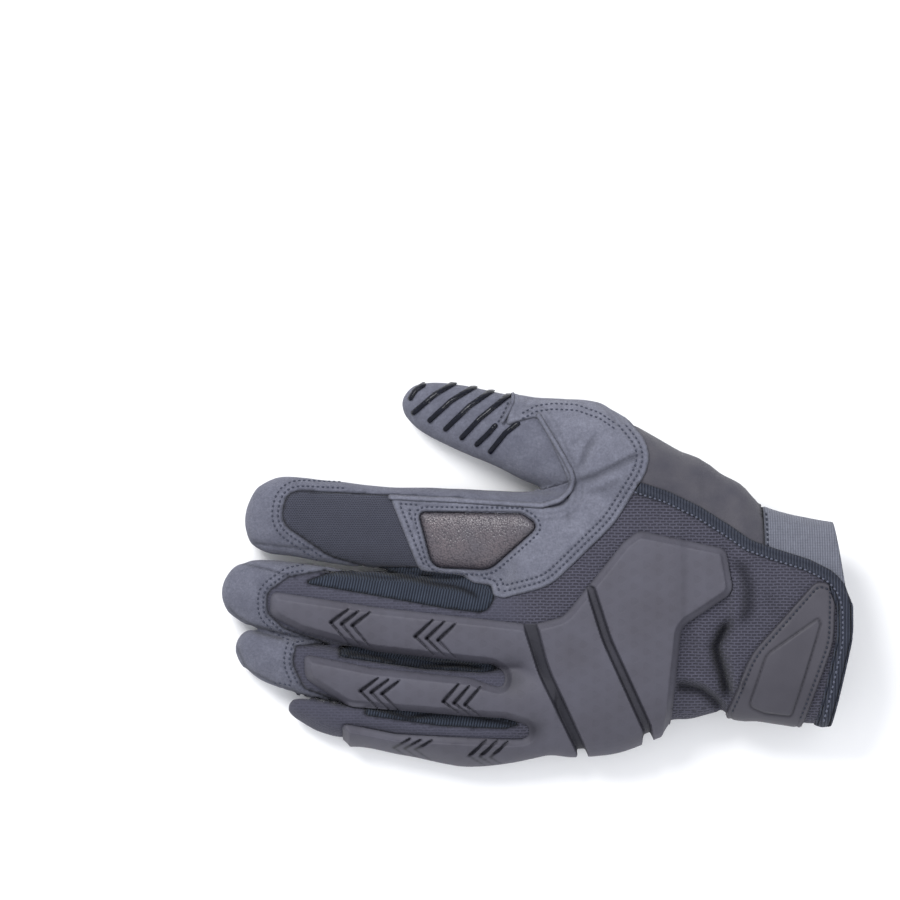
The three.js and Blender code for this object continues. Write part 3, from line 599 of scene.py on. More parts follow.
def add_mesh(name, points, faces, material, nodes=(), dark=None, kept=1.0):
    """A piece of the glove from points in the pattern's frame. Its creases and grooves can carry painted
    shade.
    """
    mesh = bpy.data.meshes.new(name)
    mesh.from_pydata((points * MM + np.array(SHIFT) * MM).tolist(), [], faces.tolist())
    mesh.validate()
    mesh.polygons.foreach_set("use_smooth", np.ones(len(mesh.polygons), bool))
    mesh.update()
    piece = bpy.data.objects.new(name, mesh)
    bpy.context.scene.collection.objects.link(piece)
    if kept < 1:
        piece.modifiers.new("lighter", "DECIMATE").ratio = kept
        final = piece.evaluated_get(bpy.context.evaluated_depsgraph_get())
        piece.data = bpy.data.meshes.new_from_object(final)
        piece.modifiers.clear()
        bpy.data.meshes.remove(mesh)
        mesh = piece.data
        mesh.name = name
    # The dark attribute is painted shade: the top table's above the side seam, the underside's below it
    if dark is not None:
        places = np.empty(3 * len(mesh.vertices))
        mesh.vertices.foreach_get("co", places)
        places = places.reshape(-1, 3) / MM - np.array(SHIFT)
        seam = np.interp(places[:, 0], X, seam_height)
        value = np.where(places[:, 2] > seam, plan_values(dark[0], places), plan_values(dark[1], places))
        mesh.attributes.new("dark", "FLOAT", "POINT").data.foreach_set("value", value.astype(np.float32))
    mesh.materials.clear()
    mesh.materials.append(material)
    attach(piece, "root")
    if nodes:
        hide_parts(*nodes)
    return piece


def main_body(points, quads):
    """The mesh without the crumbs that a cut can leave."""
    label = np.arange(len(points))
    edges = np.vstack([quads[:, [0, 1]], quads[:, [1, 2]], quads[:, [2, 3]]])
    while True:
        low = np.minimum(label[edges[:, 0]], label[edges[:, 1]])
        after = label.copy()
        np.minimum.at(after, edges[:, 0], low)
        np.minimum.at(after, edges[:, 1], low)
        after = after[after]
        if (after == label).all():
            break
        label = after
    sizes = np.bincount(label, minlength=len(points))
    kept = sizes[label] > 0.02 * sizes.max()
    index = np.cumsum(kept) - 1
    return points[kept], index[quads[kept[quads[:, 0]]]]


def skin(name, field, low, step, material, nodes=(), creases=(), dark=None, kept=1.0):
    """A piece whose surface is where its field is zero, sharp where two of its surfaces meet."""
    grid = openvdb.FloatGrid(3.0)
    grid.copyFromArray(np.ascontiguousarray(field, dtype=np.float32))
    points, quads = grid.convertToQuads(isovalue=0.0)
    at = sharpened(points.astype(float), creases)
    points, quads = main_body(at * step + np.array(low), quads[:, ::-1])
    return add_mesh(name, points, quads, material, nodes, dark, kept)


# Materials


LIT = 1.62  # how much brighter than white paper's share this light makes a level surface


def tone(colour, times=1.0):
    """The linear colour that shows as a screen colour, 0 to 255, where this light falls square on it."""
    values = [times * channel / 255 for channel in colour]
    linear = [v / 12.92 if v <= 0.04045 else ((v + 0.055) / 1.055) ** 2.4 for v in values]
    return tuple(v / LIT for v in linear) + (1.0,)


# The colour of painted shade in creases and grooves
PAINTED_SHADE_TONE = tone((20, 22, 30))


class Finish:
    """A procedural material. Its patterns are laid out in millimetres."""

    def __init__(self, name, roughness, sheen=0.0, specular=0.5):
        self.material = bpy.data.materials.new(name)
        self.material.use_nodes = True
        self.tree = self.material.node_tree
        self.shader = self.tree.nodes["Principled BSDF"]
        self.shader.inputs["Roughness"].default_value = roughness
        self.shader.inputs["Sheen Weight"].default_value = sheen
        self.shader.inputs["Specular IOR Level"].default_value = specular
        coordinates = self.node("ShaderNodeTexCoord")
        self.place = self.vector("MULTIPLY", coordinates.outputs["Object"], (1 / MM,) * 3)

    def node(self, kind, inputs=(), **settings):
        """A new node with its settings and with what goes into its sockets, by name or number."""
        made = self.tree.nodes.new(kind)
        for key, value in settings.items():
            setattr(made, key, value)
        for socket, value in dict(inputs).items():
            self.put(made.inputs[socket], value)
        return made

    def put(self, socket, value):
        if isinstance(value, bpy.types.NodeSocket):
            self.tree.links.new(value, socket)
        else:
            socket.default_value = value

    def vector(self, operation, a, b):
        return self.node("ShaderNodeVectorMath", {0: a, 1: b}, operation=operation).outputs["Vector"]

    def math(self, operation, a, b=0.0, c=0.0):
        return self.node("ShaderNodeMath", {0: a, 1: b, 2: c}, operation=operation).outputs[0]

    def axes(self, place=None):
        return self.node("ShaderNodeSeparateXYZ", {0: place or self.place}).outputs

    def turned(self, degrees, place=None):
        """The place, turned about the height."""
        inputs = {"Vector": place or self.place, "Angle": math.radians(degrees)}
        return self.node("ShaderNodeVectorRotate", inputs, rotation_type="Z_AXIS").outputs["Vector"]

    def on_cloth(self):
        """The place with height instead of breadth where the cloth stands on its side."""
        normal = self.axes(self.node("ShaderNodeNewGeometry").outputs["Normal"])
        steep = self.math("GREATER_THAN", self.math("ABSOLUTE", normal[1]), self.math("ABSOLUTE", normal[2]))
        x, y, z = self.axes()
        across = self.node("ShaderNodeMix", {0: steep, 2: y, 3: z}, data_type="FLOAT").outputs[0]
        return self.node("ShaderNodeCombineXYZ", {0: x, 1: across}).outputs[0]

    def noise(self, size, detail=2.0, rough=0.5, place=None, output="Fac"):
        """Noise from 0 to 1 with features of that size."""
        inputs = {"Vector": place or self.place, "Scale": 1 / size, "Detail": detail, "Roughness": rough}
        return self.node("ShaderNodeTexNoise", inputs).outputs[output]

    def cloud(self, size, detail, rough=0.5, least=0.3, place=None):
        """Noise whose middle band fills the range from 0 to 1."""
        return self.band(self.noise(size, detail, rough, place), least, 1 - least)

    def cells(self, size):
        inputs = {"Vector": self.place, "Scale": 1 / size}
        return self.node("ShaderNodeTexVoronoi", inputs).outputs["Distance"]

    def dashes(self, place, pitch, row, gap):
        """Rows of short dashes: 0 on a dash and 1 between them."""
        inputs = {"Vector": place, "Scale": 1.0, "Brick Width": pitch, "Row Height": row}
        inputs.update({"Mortar Size": gap, "Mortar Smooth": 0.6})
        return self.node("ShaderNodeTexBrick", inputs).outputs["Fac"]

    def ribs(self, place, pitch, axis=0):
        """Rounded ribs across an axis of the place, from 0 to 1."""
        wave = self.math("SINE", self.math("MULTIPLY", self.axes(place)[axis], 2 * math.pi / pitch))
        return self.math("MULTIPLY_ADD", wave, 0.5, 0.5)

    def mix(self, factor, a, b):
        return self.node("ShaderNodeMix", {0: factor, 6: a, 7: b}, data_type="RGBA").outputs[2]

    def tinted(self, base, mask, share, colour):
        """A colour with a share of another one where the mask is 1."""
        return self.mix(self.math("MULTIPLY", mask, share), base, colour)

    def band(self, value, low, high, least=0.0):
        """A value from low to high as the least to 1."""
        inputs = {"Value": value, "From Min": low, "From Max": high, "To Min": least}
        return self.node("ShaderNodeMapRange", inputs).outputs["Result"]

    def done(self, colour, *layers):
        """The material with its colour, with painted shade in its creases and grooves, and its bumps.

        Each bump is a height from 0 to 1 with its size in millimetres.
        """
        # Painted shade: the dark attribute mixes the colour towards the shade tone
        painted_shade = self.node("ShaderNodeAttribute", attribute_name="dark").outputs["Fac"]
        self.put(self.shader.inputs["Base Color"], self.mix(painted_shade, colour, PAINTED_SHADE_TONE))
        below = {}
        for height, depth in layers:
            bump = self.node("ShaderNodeBump", {"Distance": depth * MM, "Height": height, **below})
            below = {"Normal": bump.outputs["Normal"]}
        self.put(self.shader.inputs["Normal"], below["Normal"])
        return self.material


def suede_finish(name, light, dark):
    """Napped microfibre, mottled where the nap is brushed one way or the other."""
    look = Finish(name, 0.95, sheen=0.12, specular=0.12)
    fibres = look.cloud(0.95, 5.0, 0.85, 0.36)
    base = look.mix(look.cloud(8.0, 4.0, 0.6, 0.32), tone(dark), tone(light))
    base = look.tinted(base, look.cloud(1.8, 3.0, 0.6, 0.25), 0.45, tone(dark, 0.84))
    base = look.tinted(base, fibres, 0.5, tone(dark, 0.66))
    return look.done(base, (look.noise(2.6, 4.0), 0.4), (fibres, 0.16))


def mesh_finish(name, light, dark, pitch, row, gap, depth=0.22, fingers=None):
    """Stretch knit with rows of short open dashes, fainter and darker where the cloth covers the fingers."""
    look = Finish(name, 0.92, sheen=0.1, specular=0.12)
    wander = look.vector("MULTIPLY", look.noise(4.0, output="Color"), (1.1, 0.7, 0.0))
    warped = look.vector("ADD", look.on_cloth(), wander)
    opened = look.math("SUBTRACT", 1.0, look.dashes(warped, pitch, row, gap))
    grain = look.cloud(0.42, 3.0, 0.7, place=warped)
    base = look.mix(grain, tone(dark), tone(light))
    base = look.tinted(base, look.cloud(6.0, 3.0), 0.25, tone(dark, 0.85))
    if fingers:
        along = look.axes()[0]
        opened = look.math("MULTIPLY", opened, look.band(along, *fingers, 0.4))
        on_fingers = look.math("SUBTRACT", 1.0, look.band(along, *fingers))
        base = look.tinted(base, on_fingers, 0.3, tone((62, 65, 80)))
    base = look.tinted(base, opened, 0.75, tone(dark, 0.6))
    return look.done(base, (look.math("SUBTRACT", 1.0, opened), depth), (grain, 0.1))


def rib_finish(name, light, dark, pitch, degrees, depth=0.3, woven=0.0):
    """Ribbed stretch cloth or tape, with rows across the ribs where it is woven."""
    look = Finish(name, 0.9, sheen=0.1, specular=0.12)
    wave = look.ribs(look.turned(degrees, look.on_cloth()), pitch)
    grain = look.cloud(0.35, 3.0, 0.7)
    base = look.mix(wave, tone(dark), tone(light))
    if woven:
        rows = look.ribs(look.on_cloth(), 1.1 * pitch, 1)
        speckled = look.math("MULTIPLY", rows, look.cloud(1.1, 3.0, 0.8, 0.4))
        base = look.tinted(base, speckled, woven, tone(dark, 0.72))
    base = look.tinted(base, look.cloud(5.0, 3.0), 0.22, tone(dark, 0.75))
    base = look.tinted(base, grain, 0.25, tone(dark, 0.7))
    return look.done(base, (wave, depth), (grain, 0.08))


def rubber_finish(name, light, dark, roughness, hexagons=0.0):
    """Moulded rubber with a fine matt texture and, where asked for, faint raised hexagons."""
    look = Finish(name, roughness, specular=0.25)
    cloudy = look.cloud(18.0, 4.0)
    grain = look.noise(0.45, 2.0, 0.6)
    base = look.mix(cloudy, tone(dark), tone(light))
    layers = [(grain, 0.035)]
    if hexagons:
        waves = [look.ribs(look.turned(angle), hexagons) for angle in (0, 60, 120)]
        comb = look.band(look.math("ADD", look.math("ADD", waves[0], waves[1]), waves[2]), 0.95, 1.3)
        base = look.tinted(base, comb, 0.05, tone(light, 1.3))
        layers.append((comb, 0.04))
    look.put(look.shader.inputs["Roughness"], look.math("MULTIPLY_ADD", cloudy, 0.12, roughness - 0.06))
    return look.done(look.tinted(base, grain, 0.15, tone(dark, 0.8)), *layers)


def thread_finish(name, light, dark):
    look = Finish(name, 0.75, sheen=0.1, specular=0.2)
    twist = look.ribs(look.turned(35), 0.5)
    return look.done(look.mix(twist, tone(dark), tone(light)), (twist, 0.06))


suede = suede_finish("suede", (145, 147, 164), (125, 127, 144))
saddle_suede = suede_finish("saddle_suede", (159, 161, 178), (138, 140, 157))
back_mesh = mesh_finish("back_mesh", (108, 107, 123), (90, 89, 104), 2.5, 1.15, 0.36,
                        fingers=(SHIFT.x - 136, SHIFT.x - 124))
air_knit = mesh_finish("air_knit", (96, 98, 113), (77, 79, 93), 0.95, 0.7, 0.2, 0.12)
ribbed = rib_finish("ribbed_stretch", (80, 89, 106), (32, 37, 50), 1.07, 12)
elastic = rib_finish("ribbed_elastic", (152, 155, 168), (120, 123, 137), 0.95, 0, depth=0.2, woven=0.4)
tape = rib_finish("ribbed_tape", (84, 89, 104), (48, 52, 66), 1.15, 0)
guard_rubber = rubber_finish("guard_rubber", (99, 98, 110), (89, 87, 97), 0.6, hexagons=4.85)
tab_rubber = rubber_finish("tab_rubber", (91, 89, 98), (81, 79, 88), 0.55)
dark_thread = thread_finish("dark_thread", (62, 66, 82), (38, 42, 56))
suede_thread = thread_finish("suede_thread", (88, 91, 108), (58, 62, 78))
light_thread = thread_finish("light_thread", (120, 124, 142), (92, 96, 114))

# Fine glossy pebbles, browner where they are rubbed
look = Finish("pebbled_rubber", 0.27)
pebbles = look.cells(0.72)
crowned = look.math("SUBTRACT", 1.0, look.math("POWER", pebbles, 2.0))
tops = look.mix(look.cloud(7.0, 3.0), tone((98, 93, 101)), tone((111, 101, 106)))
base = look.mix(look.band(pebbles, 0.35, 0.8), tops, tone((78, 73, 80)))
insert_rubber = look.done(base, (crowned, 0.21), (look.noise(0.3, 3.0, 0.6), 0.05))

# Smooth knit on foam
look = Finish("gusset_knit", 0.9, sheen=0.12, specular=0.12)
grain = look.cloud(0.4, 4.0, 0.75)
base = look.mix(look.cloud(9.0, 4.0), tone((88, 87, 97)), tone((103, 101, 108)))
gusset_knit = look.done(look.tinted(base, grain, 0.3, tone((88, 87, 97), 0.7)), (grain, 0.1))

# Coated leather, rubbed browner where it stands out
look = Finish("grip_leather", 0.62, specular=0.3)
grain = look.cells(0.6)
base = look.mix(look.cloud(11.0, 4.0, 0.5, 0.35), tone((62, 60, 70)), tone((92, 79, 80)))
base = look.tinted(base, grain, 0.5, tone((40, 38, 44)))
grip_leather = look.done(base, (grain, 0.1), (look.noise(2.4, 3.0), 0.14))

look = Finish("silicone", 0.1, specular=0.2)
base = look.mix(look.noise(1.5, 2.0), tone((8, 10, 18)), tone((24, 27, 42)))
silicone = look.done(base, (look.noise(1.4, 3.0), 0.16))

# Checked pile
look = Finish("loop_cloth", 0.95, sheen=0.25, specular=0.12)
checks = look.dashes(look.turned(45), 1.6, 0.8, 0.22)
pile = look.cloud(0.4, 4.0, 0.8, 0.25)
base = look.mix(checks, tone((72, 58, 60)), tone((118, 98, 95)))
base = look.tinted(base, pile, 0.5, tone((46, 38, 42)))
loop_cloth = look.done(base, (checks, 0.25), (pile, 0.18))

# The sewn shell

COARSE = 2  # the shell is meshed at every second sample
FORKS = [[-104, 52, 14, 7], [-141, 25, 10, 7], [-139, -9, 8, 6], [-136, -29, 10, 6]]
FORK_LIFT = 10  # how much higher the back's edge is between two fingers
THUMB_SEAM_Z = 9.5
FOURCHETTE_BASE_Z = 5
INDEX_SEAM_Z = 7.5
GUSSET_CORNER = 10  # the height of the gusset's lower edge plus how far it is in from the outline
GUSSET_STEEPNESS = 0.7  # turns that sum into a distance
THICKEST = 3  # how many times the wall the lining may step back at a fold
OUTLINE_SPAN = 4  # columns on each side that smooth the outline
WRIST_MIDDLE_Z = 21
EVERYWHERE = -9
NOWHERE = 9
coarse = form[::COARSE, ::COARSE, ::COARSE]
coarse_z = Z[::COARSE][None, None, :]
flat = {name: volume(values[::COARSE, ::COARSE]) for name, values in plans.items()}
lifts = [np.exp(-(((PX - x) / wide) ** 2) - ((PY - y) / deep) ** 2) for x, y, wide, deep in FORKS]
seam_z = volume((seam_height[:, None] + FORK_LIFT * sum(lifts))[::COARSE, ::COARSE])
outline_y = Y[::-COARSE][np.argmax((coarse < 0).any(axis=2)[:, ::-1], axis=1)]
span = 2 * OUTLINE_SPAN + 1
outline_y = np.convolve(np.pad(outline_y, OUTLINE_SPAN, "edge"), np.full(span, 1 / span), "valid")
steepness = np.sqrt(sum(g * g for g in np.gradient(coarse, STEP * COARSE)))
lining = -(coarse + WALL * np.clip(steepness, 1, THICKEST))
shell = np.maximum(np.maximum(coarse, lining), flat["cuff_end"])


def over(name, height):
    return np.maximum(flat[name], height - coarse_z)


def below(name, height):
    return np.maximum(flat[name], coarse_z - height)


below_gusset = GUSSET_CORNER - coarse_z + volume(outline_y[:, None] - Y[None, ::COARSE])
PANELS = [
    *((name, ribbed, "rib", over(name, FOURCHETTE_BASE_Z), []) for name in FOURCHETTES),
    ("index_back", air_knit, "knit", over("index_panel", INDEX_SEAM_Z), []),
    ("wrist_elastic", elastic, "elastic",
     np.minimum(over("elastic_top", WRIST_MIDDLE_Z), below("elastic_underside", WRIST_MIDDLE_Z)), []),
    ("wrist_gusset", gusset_knit, "neoprene",
     np.maximum(flat["gusset"], below_gusset * GUSSET_STEEPNESS), []),
    ("thumb_back", back_mesh, "mesh", below("thumb", THUMB_SEAM_Z), []),
    ("thumb_pad_panel", suede, "suede", over("thumb", THUMB_SEAM_Z), []),
    ("back_panel", back_mesh, "mesh", over("back_panel", seam_z),
     ["wrist_back", "middle_back", "ring_back", "pinky_back"]),
    ("palm_panel", suede, "suede", np.full(coarse.shape, EVERYWHERE, np.float32),
     ["wrist_front", "thumb_heel", "index_front", "middle_front", "ring_front", "pinky_front", "index_tip",
      "middle_tip", "ring_tip"]),
]
claimed = np.full(coarse.shape, NOWHERE, np.float32)
for name, material, slot, region, more in PANELS:
    mine = np.maximum(region, -claimed) + SEAM_GAP
    creases = [(coarse, mine), (lining, mine), (coarse, np.broadcast_to(flat["cuff_end"], coarse.shape))]
    skin(f"{name}_skin", np.maximum(shell, mine), LOW, STEP * COARSE, material, [name, *more], creases,
         (top_painted_shade, under_painted_shade))
    claimed = np.minimum(claimed, region)

# Patches, the guard and the closure, as slices above the skin

TAB_FRAME = [
    [-40.4, -25.5, 3], [-33.9, -4.9, 8], [-13.9, 9.4, 1.5], [-13, 6.8, 1], [-23.6, -29.4, 2],
    [-33.9, -28.1, 3],
]
# Scoops in the guard: x, y, width, depth and the most painted shade in each
GUARD_SCOOPS = [[-132.8, -15.6, 5.5, 1.3, 0.5], [-123.4, -35.4, 4.5, 1.2, 0.5]]
SUNK = -0.4  # how far below the skin a patch's hidden side is
GAP = 0.3  # between the saddle and what it surrounds
CLEARANCE = 0.2  # between the tape and what it passes
BELOW_ALL = -9.0
ABOVE_ALL = 99.0
GUARD_LIP = 0.9
GUARD_CROWN = 2.3
GUARD_BEVEL = 2.7
GUARD_LEAST = 0.45
GROOVE_FLOOR = 0.7
GROOVE_WALL = 0.8


def edge(name):
    """How far in from an outline's edge a place in plan is."""
    return -plans[name]


def rolled(depth_in, thickness, width):
    """The thickness of a patch whose edge is rolled over that width."""
    inner = np.clip(depth_in / width, 0, 1)
    return thickness * np.sqrt(np.clip(1 - (1 - inner) ** 2, 0.02, 1))


def bead(away, width, base, crown, least=0):
    """The height of a line of that width with a rounded top."""
    return base + crown * np.sqrt(np.clip(1 - (2 * away / width) ** 2, least, 1))


def tapered(start, end, width):
    """Distance from a line that narrows to its end, as a share of its half-width there."""
    ahead = end - start
    t = np.clip(((PX - start[0]) * ahead[0] + (PY - start[1]) * ahead[1]) / (ahead @ ahead), 0, 1)
    away = np.hypot(PX - start[0] - t * ahead[0], PY - start[1] - t * ahead[1])
    return away / (width * (1 - 0.55 * t**2))


# How level the skin's top is in plan, from 0 to 1
solid = form < 0
skin_top = np.where(solid.any(axis=2), Z[Z.size - 1 - np.argmax(solid[:, :, ::-1], axis=2)], 0)
along, across = np.gradient(skin_top, STEP)
level = np.where(skin_top > 0, 1 / np.sqrt(1 + along**2 + across**2), 0)
level = (level + sum(np.roll(level, shift, axis) for axis in (1, 0) for shift in (2, -2))) / 5
del solid

guard_edge = edge("guard")
guard_rise = GUARD_LIP + GUARD_CROWN * np.clip(guard_edge / GUARD_BEVEL, 0, 1)
# Painted shade on the guard: along its edges, on its grooves' floors and walls, in its chevrons and in its
# scoops
guard_painted_shade = ridge(guard_edge, 0.7, 0.35)
for corners, groove_floor_painted_shade in zip(GUARD_GROOVES, (0.66, 0.4)):
    sunken = plan(corners)
    guard_rise = np.minimum(guard_rise, GROOVE_FLOOR + 2.6 * np.clip(sunken / GROOVE_WALL, 0, 1))
    guard_painted_shade = np.maximum(guard_painted_shade, groove_floor_painted_shade * (1 - smoothstep(-0.3, 0.9, sunken)))
    guard_painted_shade = np.maximum(guard_painted_shade, ridge(sunken, 0.45, 0.75))
for tip_x, tip_y, reach, rise, drop, step_x, step_y in CHEVRONS:
    for k in range(CHEVRONS_EACH):
        tip = np.array([tip_x + k * step_x, tip_y + k * step_y])
        for up, width, depth, most_shade in ((rise, 0.85, 1.1, 0.88), (-drop, 0.5, 0.8, 0.7)):
            share = tapered(tip, tip + (reach, up), width)
            guard_rise = guard_rise - depth * (1 - smoothstep(0.5, 1.0, share)) * smoothstep(0.3, 0.6, level)
            # Painted shade in each chevron's arm
            guard_painted_shade = np.maximum(guard_painted_shade, most_shade * (1 - smoothstep(0.3, 0.9, share)))
for x, y, width, depth, most_shade in GUARD_SCOOPS:
    away = np.hypot(PX - x, PY - y)
    guard_rise = guard_rise - ridge(away, width, depth)
    # Painted shade in the scoop
    guard_painted_shade = np.maximum(guard_painted_shade, ridge(away, 0.8 * width, most_shade))
guard_rise = np.maximum(guard_rise, GUARD_LEAST)

STITCH_ROWS = (2.5, 4.7)
WINDOW_ROW = 2.0
TAB_ROW = 2.0
saddle_edge = np.minimum(edge("saddle"), plans["insert"] - GAP)
saddle_rise = rolled(saddle_edge, 1.0, 0.8) - ridge(plans["insert"] - WINDOW_ROW, 0.55, 0.16)
# Painted shade at the saddle's rolled edge, in the folds under it and in its stitch channels
saddle_painted_shade = np.maximum(ridge(saddle_edge, 0.45, 0.5), np.where(plans["saddle"] < 0, fold_painted_shade, 0))
for inset in STITCH_ROWS:
    saddle_rise = saddle_rise - ridge(edge("saddle") - inset, 0.55, 0.16)
    saddle_painted_shade = np.maximum(saddle_painted_shade, ridge(edge("saddle") - inset, 0.55, 0.2))
insert_rise = 0.15 + 1.75 * (1 - np.exp(-np.clip(edge("insert") - 0.2, 0, None) / 1.5))
# Painted shade around the insert's sunken edge
insert_painted_shade = 0.85 * (1 - smoothstep(0.1, 1.3, edge("insert")))
tab_edge = edge("tab_top")
in_frame = -plan(TAB_FRAME)
tab_rise = rolled(tab_edge, 1.9, 0.9) - ridge(tab_edge - TAB_ROW, 0.5, 0.35) - ridge(in_frame, 0.38, 0.5)
tab_rise = tab_rise + 0.25 * smoothstep(0, 0.8, in_frame)
# Painted shade in the tab's frame groove, in its stitch channel and at its rolled edge
tab_painted_shades = [ridge(in_frame, 0.35, 0.6), ridge(tab_edge - TAB_ROW, 0.4, 0.25), ridge(tab_edge, 0.5, 0.5)]
tab_under_edge = edge("tab_underside")
tab_under_rise = rolled(tab_under_edge, 1.9, 0.9) - ridge(tab_under_edge - TAB_ROW, 0.5, 0.35)

slit_line = rounded([[x, y, 12] for x, y in [[-96, 66]] + SLIT_BINDING + [[-17, -62]]])
slit_line = np.array([p for p in slit_line if p[0] >= -84 and -53 <= p[1] <= 62])
slit_away = line_distance(slit_line)
binding_half = BINDING_WIDTH / 2
binding_rise = bead(slit_away, BINDING_WIDTH, 0, 1.35, 0.02)
cuff_away = edge("cuff_end")
cuff_middle = CUFF_BINDING_WIDTH / 2 - 0.5
cuff_rise = bead(cuff_away - cuff_middle, 2 * (cuff_middle + 1.2), 0, 1.3, 0.02)
plain = np.zeros(PX.shape, np.float32)


def block(outline_plan, low_z, high_z, margin=2.0):
    """The part of the grid where an outline is, as slices."""
    columns = np.where((outline_plan < margin).any(axis=1))[0]
    rows = np.where((outline_plan < margin).any(axis=0))[0]
    heights = np.where((Z >= low_z - margin) & (Z <= high_z + margin))[0]
    return tuple(slice(kept[0], kept[-1] + 1) for kept in (columns, rows, heights))


def overlay(name, material, nodes, outline_plan, rise, low_z=BELOW_ALL, high_z=ABOVE_ALL,
            dark=plain, kept=1.0):
    """A slice of the space above the skin, as high as its rise, inside an outline and between two heights."""
    part_of = block(outline_plan, low_z, high_z)
    skin_part = form[part_of]
    heights = Z[part_of[2]][None, None, :]
    walls = np.maximum(volume(outline_plan[part_of[:2]]), np.maximum(low_z - heights, heights - high_z))
    face = skin_part - volume(rise[part_of[:2]])
    field = np.maximum(np.maximum(walls, face), SUNK - skin_part)
    low = LOW + STEP * np.array([s.start for s in part_of])
    return skin(name, field, low, STEP, material, nodes, [(face, walls)], (dark, dark), kept)


SADDLE_EDGE_Z = 12
GUARD_EDGE_Z = 7.5
PALM_PATCH_TOP_Z = 6
LOOP_PATCH_TOP_Z = 13
around_window = np.maximum(plans["saddle"], GAP - plans["insert"])
overlay("thumb_saddle_patch", saddle_suede, ["thumb_saddle"], around_window, saddle_rise,
        SADDLE_EDGE_Z, dark=saddle_painted_shade, kept=0.8)
overlay("knuckle_insert_pad", insert_rubber, ["knuckle_insert"], plans["insert"], insert_rise,
        SADDLE_EDGE_Z, dark=insert_painted_shade, kept=0.8)
overlay("knuckle_guard_moulding", guard_rubber, ["knuckle_guard"], plans["guard"], guard_rise,
        GUARD_EDGE_Z, dark=guard_painted_shade, kept=0.68)

slit_clear = binding_half + CLEARANCE - slit_away
cuff_clear = CUFF_BINDING_WIDTH + CLEARANCE - cuff_away
tab_plan = np.maximum(plans["tab_top"], np.maximum(slit_clear, cuff_clear))
overlay("closure_tab_top", tab_rubber, [], tab_plan, tab_rise, WRIST_MIDDLE_Z,
        dark=np.maximum.reduce(tab_painted_shades))
tab_plan = np.maximum(plans["tab_underside"], cuff_clear)
# Painted shade in the underside tab's stitch channel
overlay("closure_tab_underside", tab_rubber, ["closure_tab"], tab_plan, tab_under_rise,
        high_z=WRIST_MIDDLE_Z, dark=ridge(tab_under_edge - TAB_ROW, 0.4, 0.3), kept=0.7)

overlay("loop_patch_cloth", loop_cloth, ["loop_patch"], plans["loop_patch"],
        rolled(edge("loop_patch"), 0.8, 0.6), high_z=LOOP_PATCH_TOP_Z, kept=0.7)
grip_edge = edge("palm_grip")
grip_rise = rolled(grip_edge, 1.2, 0.8) - sum(ridge(grip_edge - inset, 0.5, 0.15) for inset in STITCH_ROWS)
# Painted shade at the grip's rolled edge
overlay("palm_grip_leather", grip_leather, ["palm_grip_patch"], plans["palm_grip"], grip_rise,
        0, PALM_PATCH_TOP_Z, ridge(grip_edge, 0.6, 0.5), 0.7)

PAD_ROWS = (2.7, 4.6)
pad_rises = {}
for name in ("thumb_base_pad", "heel_pad"):
    crown = 0.35 + 1.45 * (1 - np.exp(-np.clip(edge(name), 0, None) / 1.3))
    pad_rises[name] = crown - sum(ridge(edge(name) - inset, 0.6, 0.45) for inset in PAD_ROWS)
    # Painted shade in the pads' stitch channels
    pad_painted_shade = np.maximum.reduce([ridge(edge(name) - inset, 0.5, 0.2) for inset in PAD_ROWS])
    pad = overlay(f"{name}_cushion", suede, [name], plans[name], pad_rises[name],
                  0, PALM_PATCH_TOP_Z, pad_painted_shade, 0.7)

CUFF_TAPE_TOP_END = 22
CUFF_TAPE_UNDER_END = 4
slit_plan = np.maximum(slit_away - binding_half, CLEARANCE - plans["saddle"])
cuff_plan = np.maximum(plans["cuff_end"], cuff_away - CUFF_BINDING_WIDTH)
# Painted shade towards the sides of the slit's rounded binding
overlay("slit_tape", tape, ["cuff_binding"], slit_plan, binding_rise, WRIST_MIDDLE_Z,
        dark=0.5 * smoothstep(0.7, 1, slit_away / binding_half))
cuff_top = np.maximum(np.maximum(cuff_plan, PY - CUFF_TAPE_TOP_END), slit_clear - CLEARANCE)
overlay("cuff_tape_top", tape, [], cuff_top, cuff_rise, WRIST_MIDDLE_Z)
cuff_under = np.maximum(cuff_plan, PY - CUFF_TAPE_UNDER_END)
overlay("cuff_tape_underside", tape, [], cuff_under, cuff_rise, high_z=WRIST_MIDDLE_Z)


def open_line(points, radius):
    """A line through points in plan whose corners are rounded, but not its ends."""
    return rounded([[x, y, radius * (0 < i < len(points) - 1)] for i, (x, y) in enumerate(points)])


def sewn_roll(name, material, line, width, height, low_z, most_shade):
    """A raised line of folded suede, with painted shade towards its sides."""
    away = line_distance(line)
    overlay(name, material, [], away - width / 2, bead(away, width, height, height), low_z,
            dark=most_shade * smoothstep(0.6, 1, 2 * away / width))


def stripe(name, points, width, nodes=(), low_z=BELOW_ALL, high_z=ABOVE_ALL):
    """A raised silicone line with rounded ends."""
    away = line_distance(np.array(points, float), reach=6.0)
    outline = np.maximum(away - width / 2, GAP - plans["saddle"])
    overlay(name, silicone, nodes, outline, bead(away, width, 0.25, 0.65), low_z, high_z)


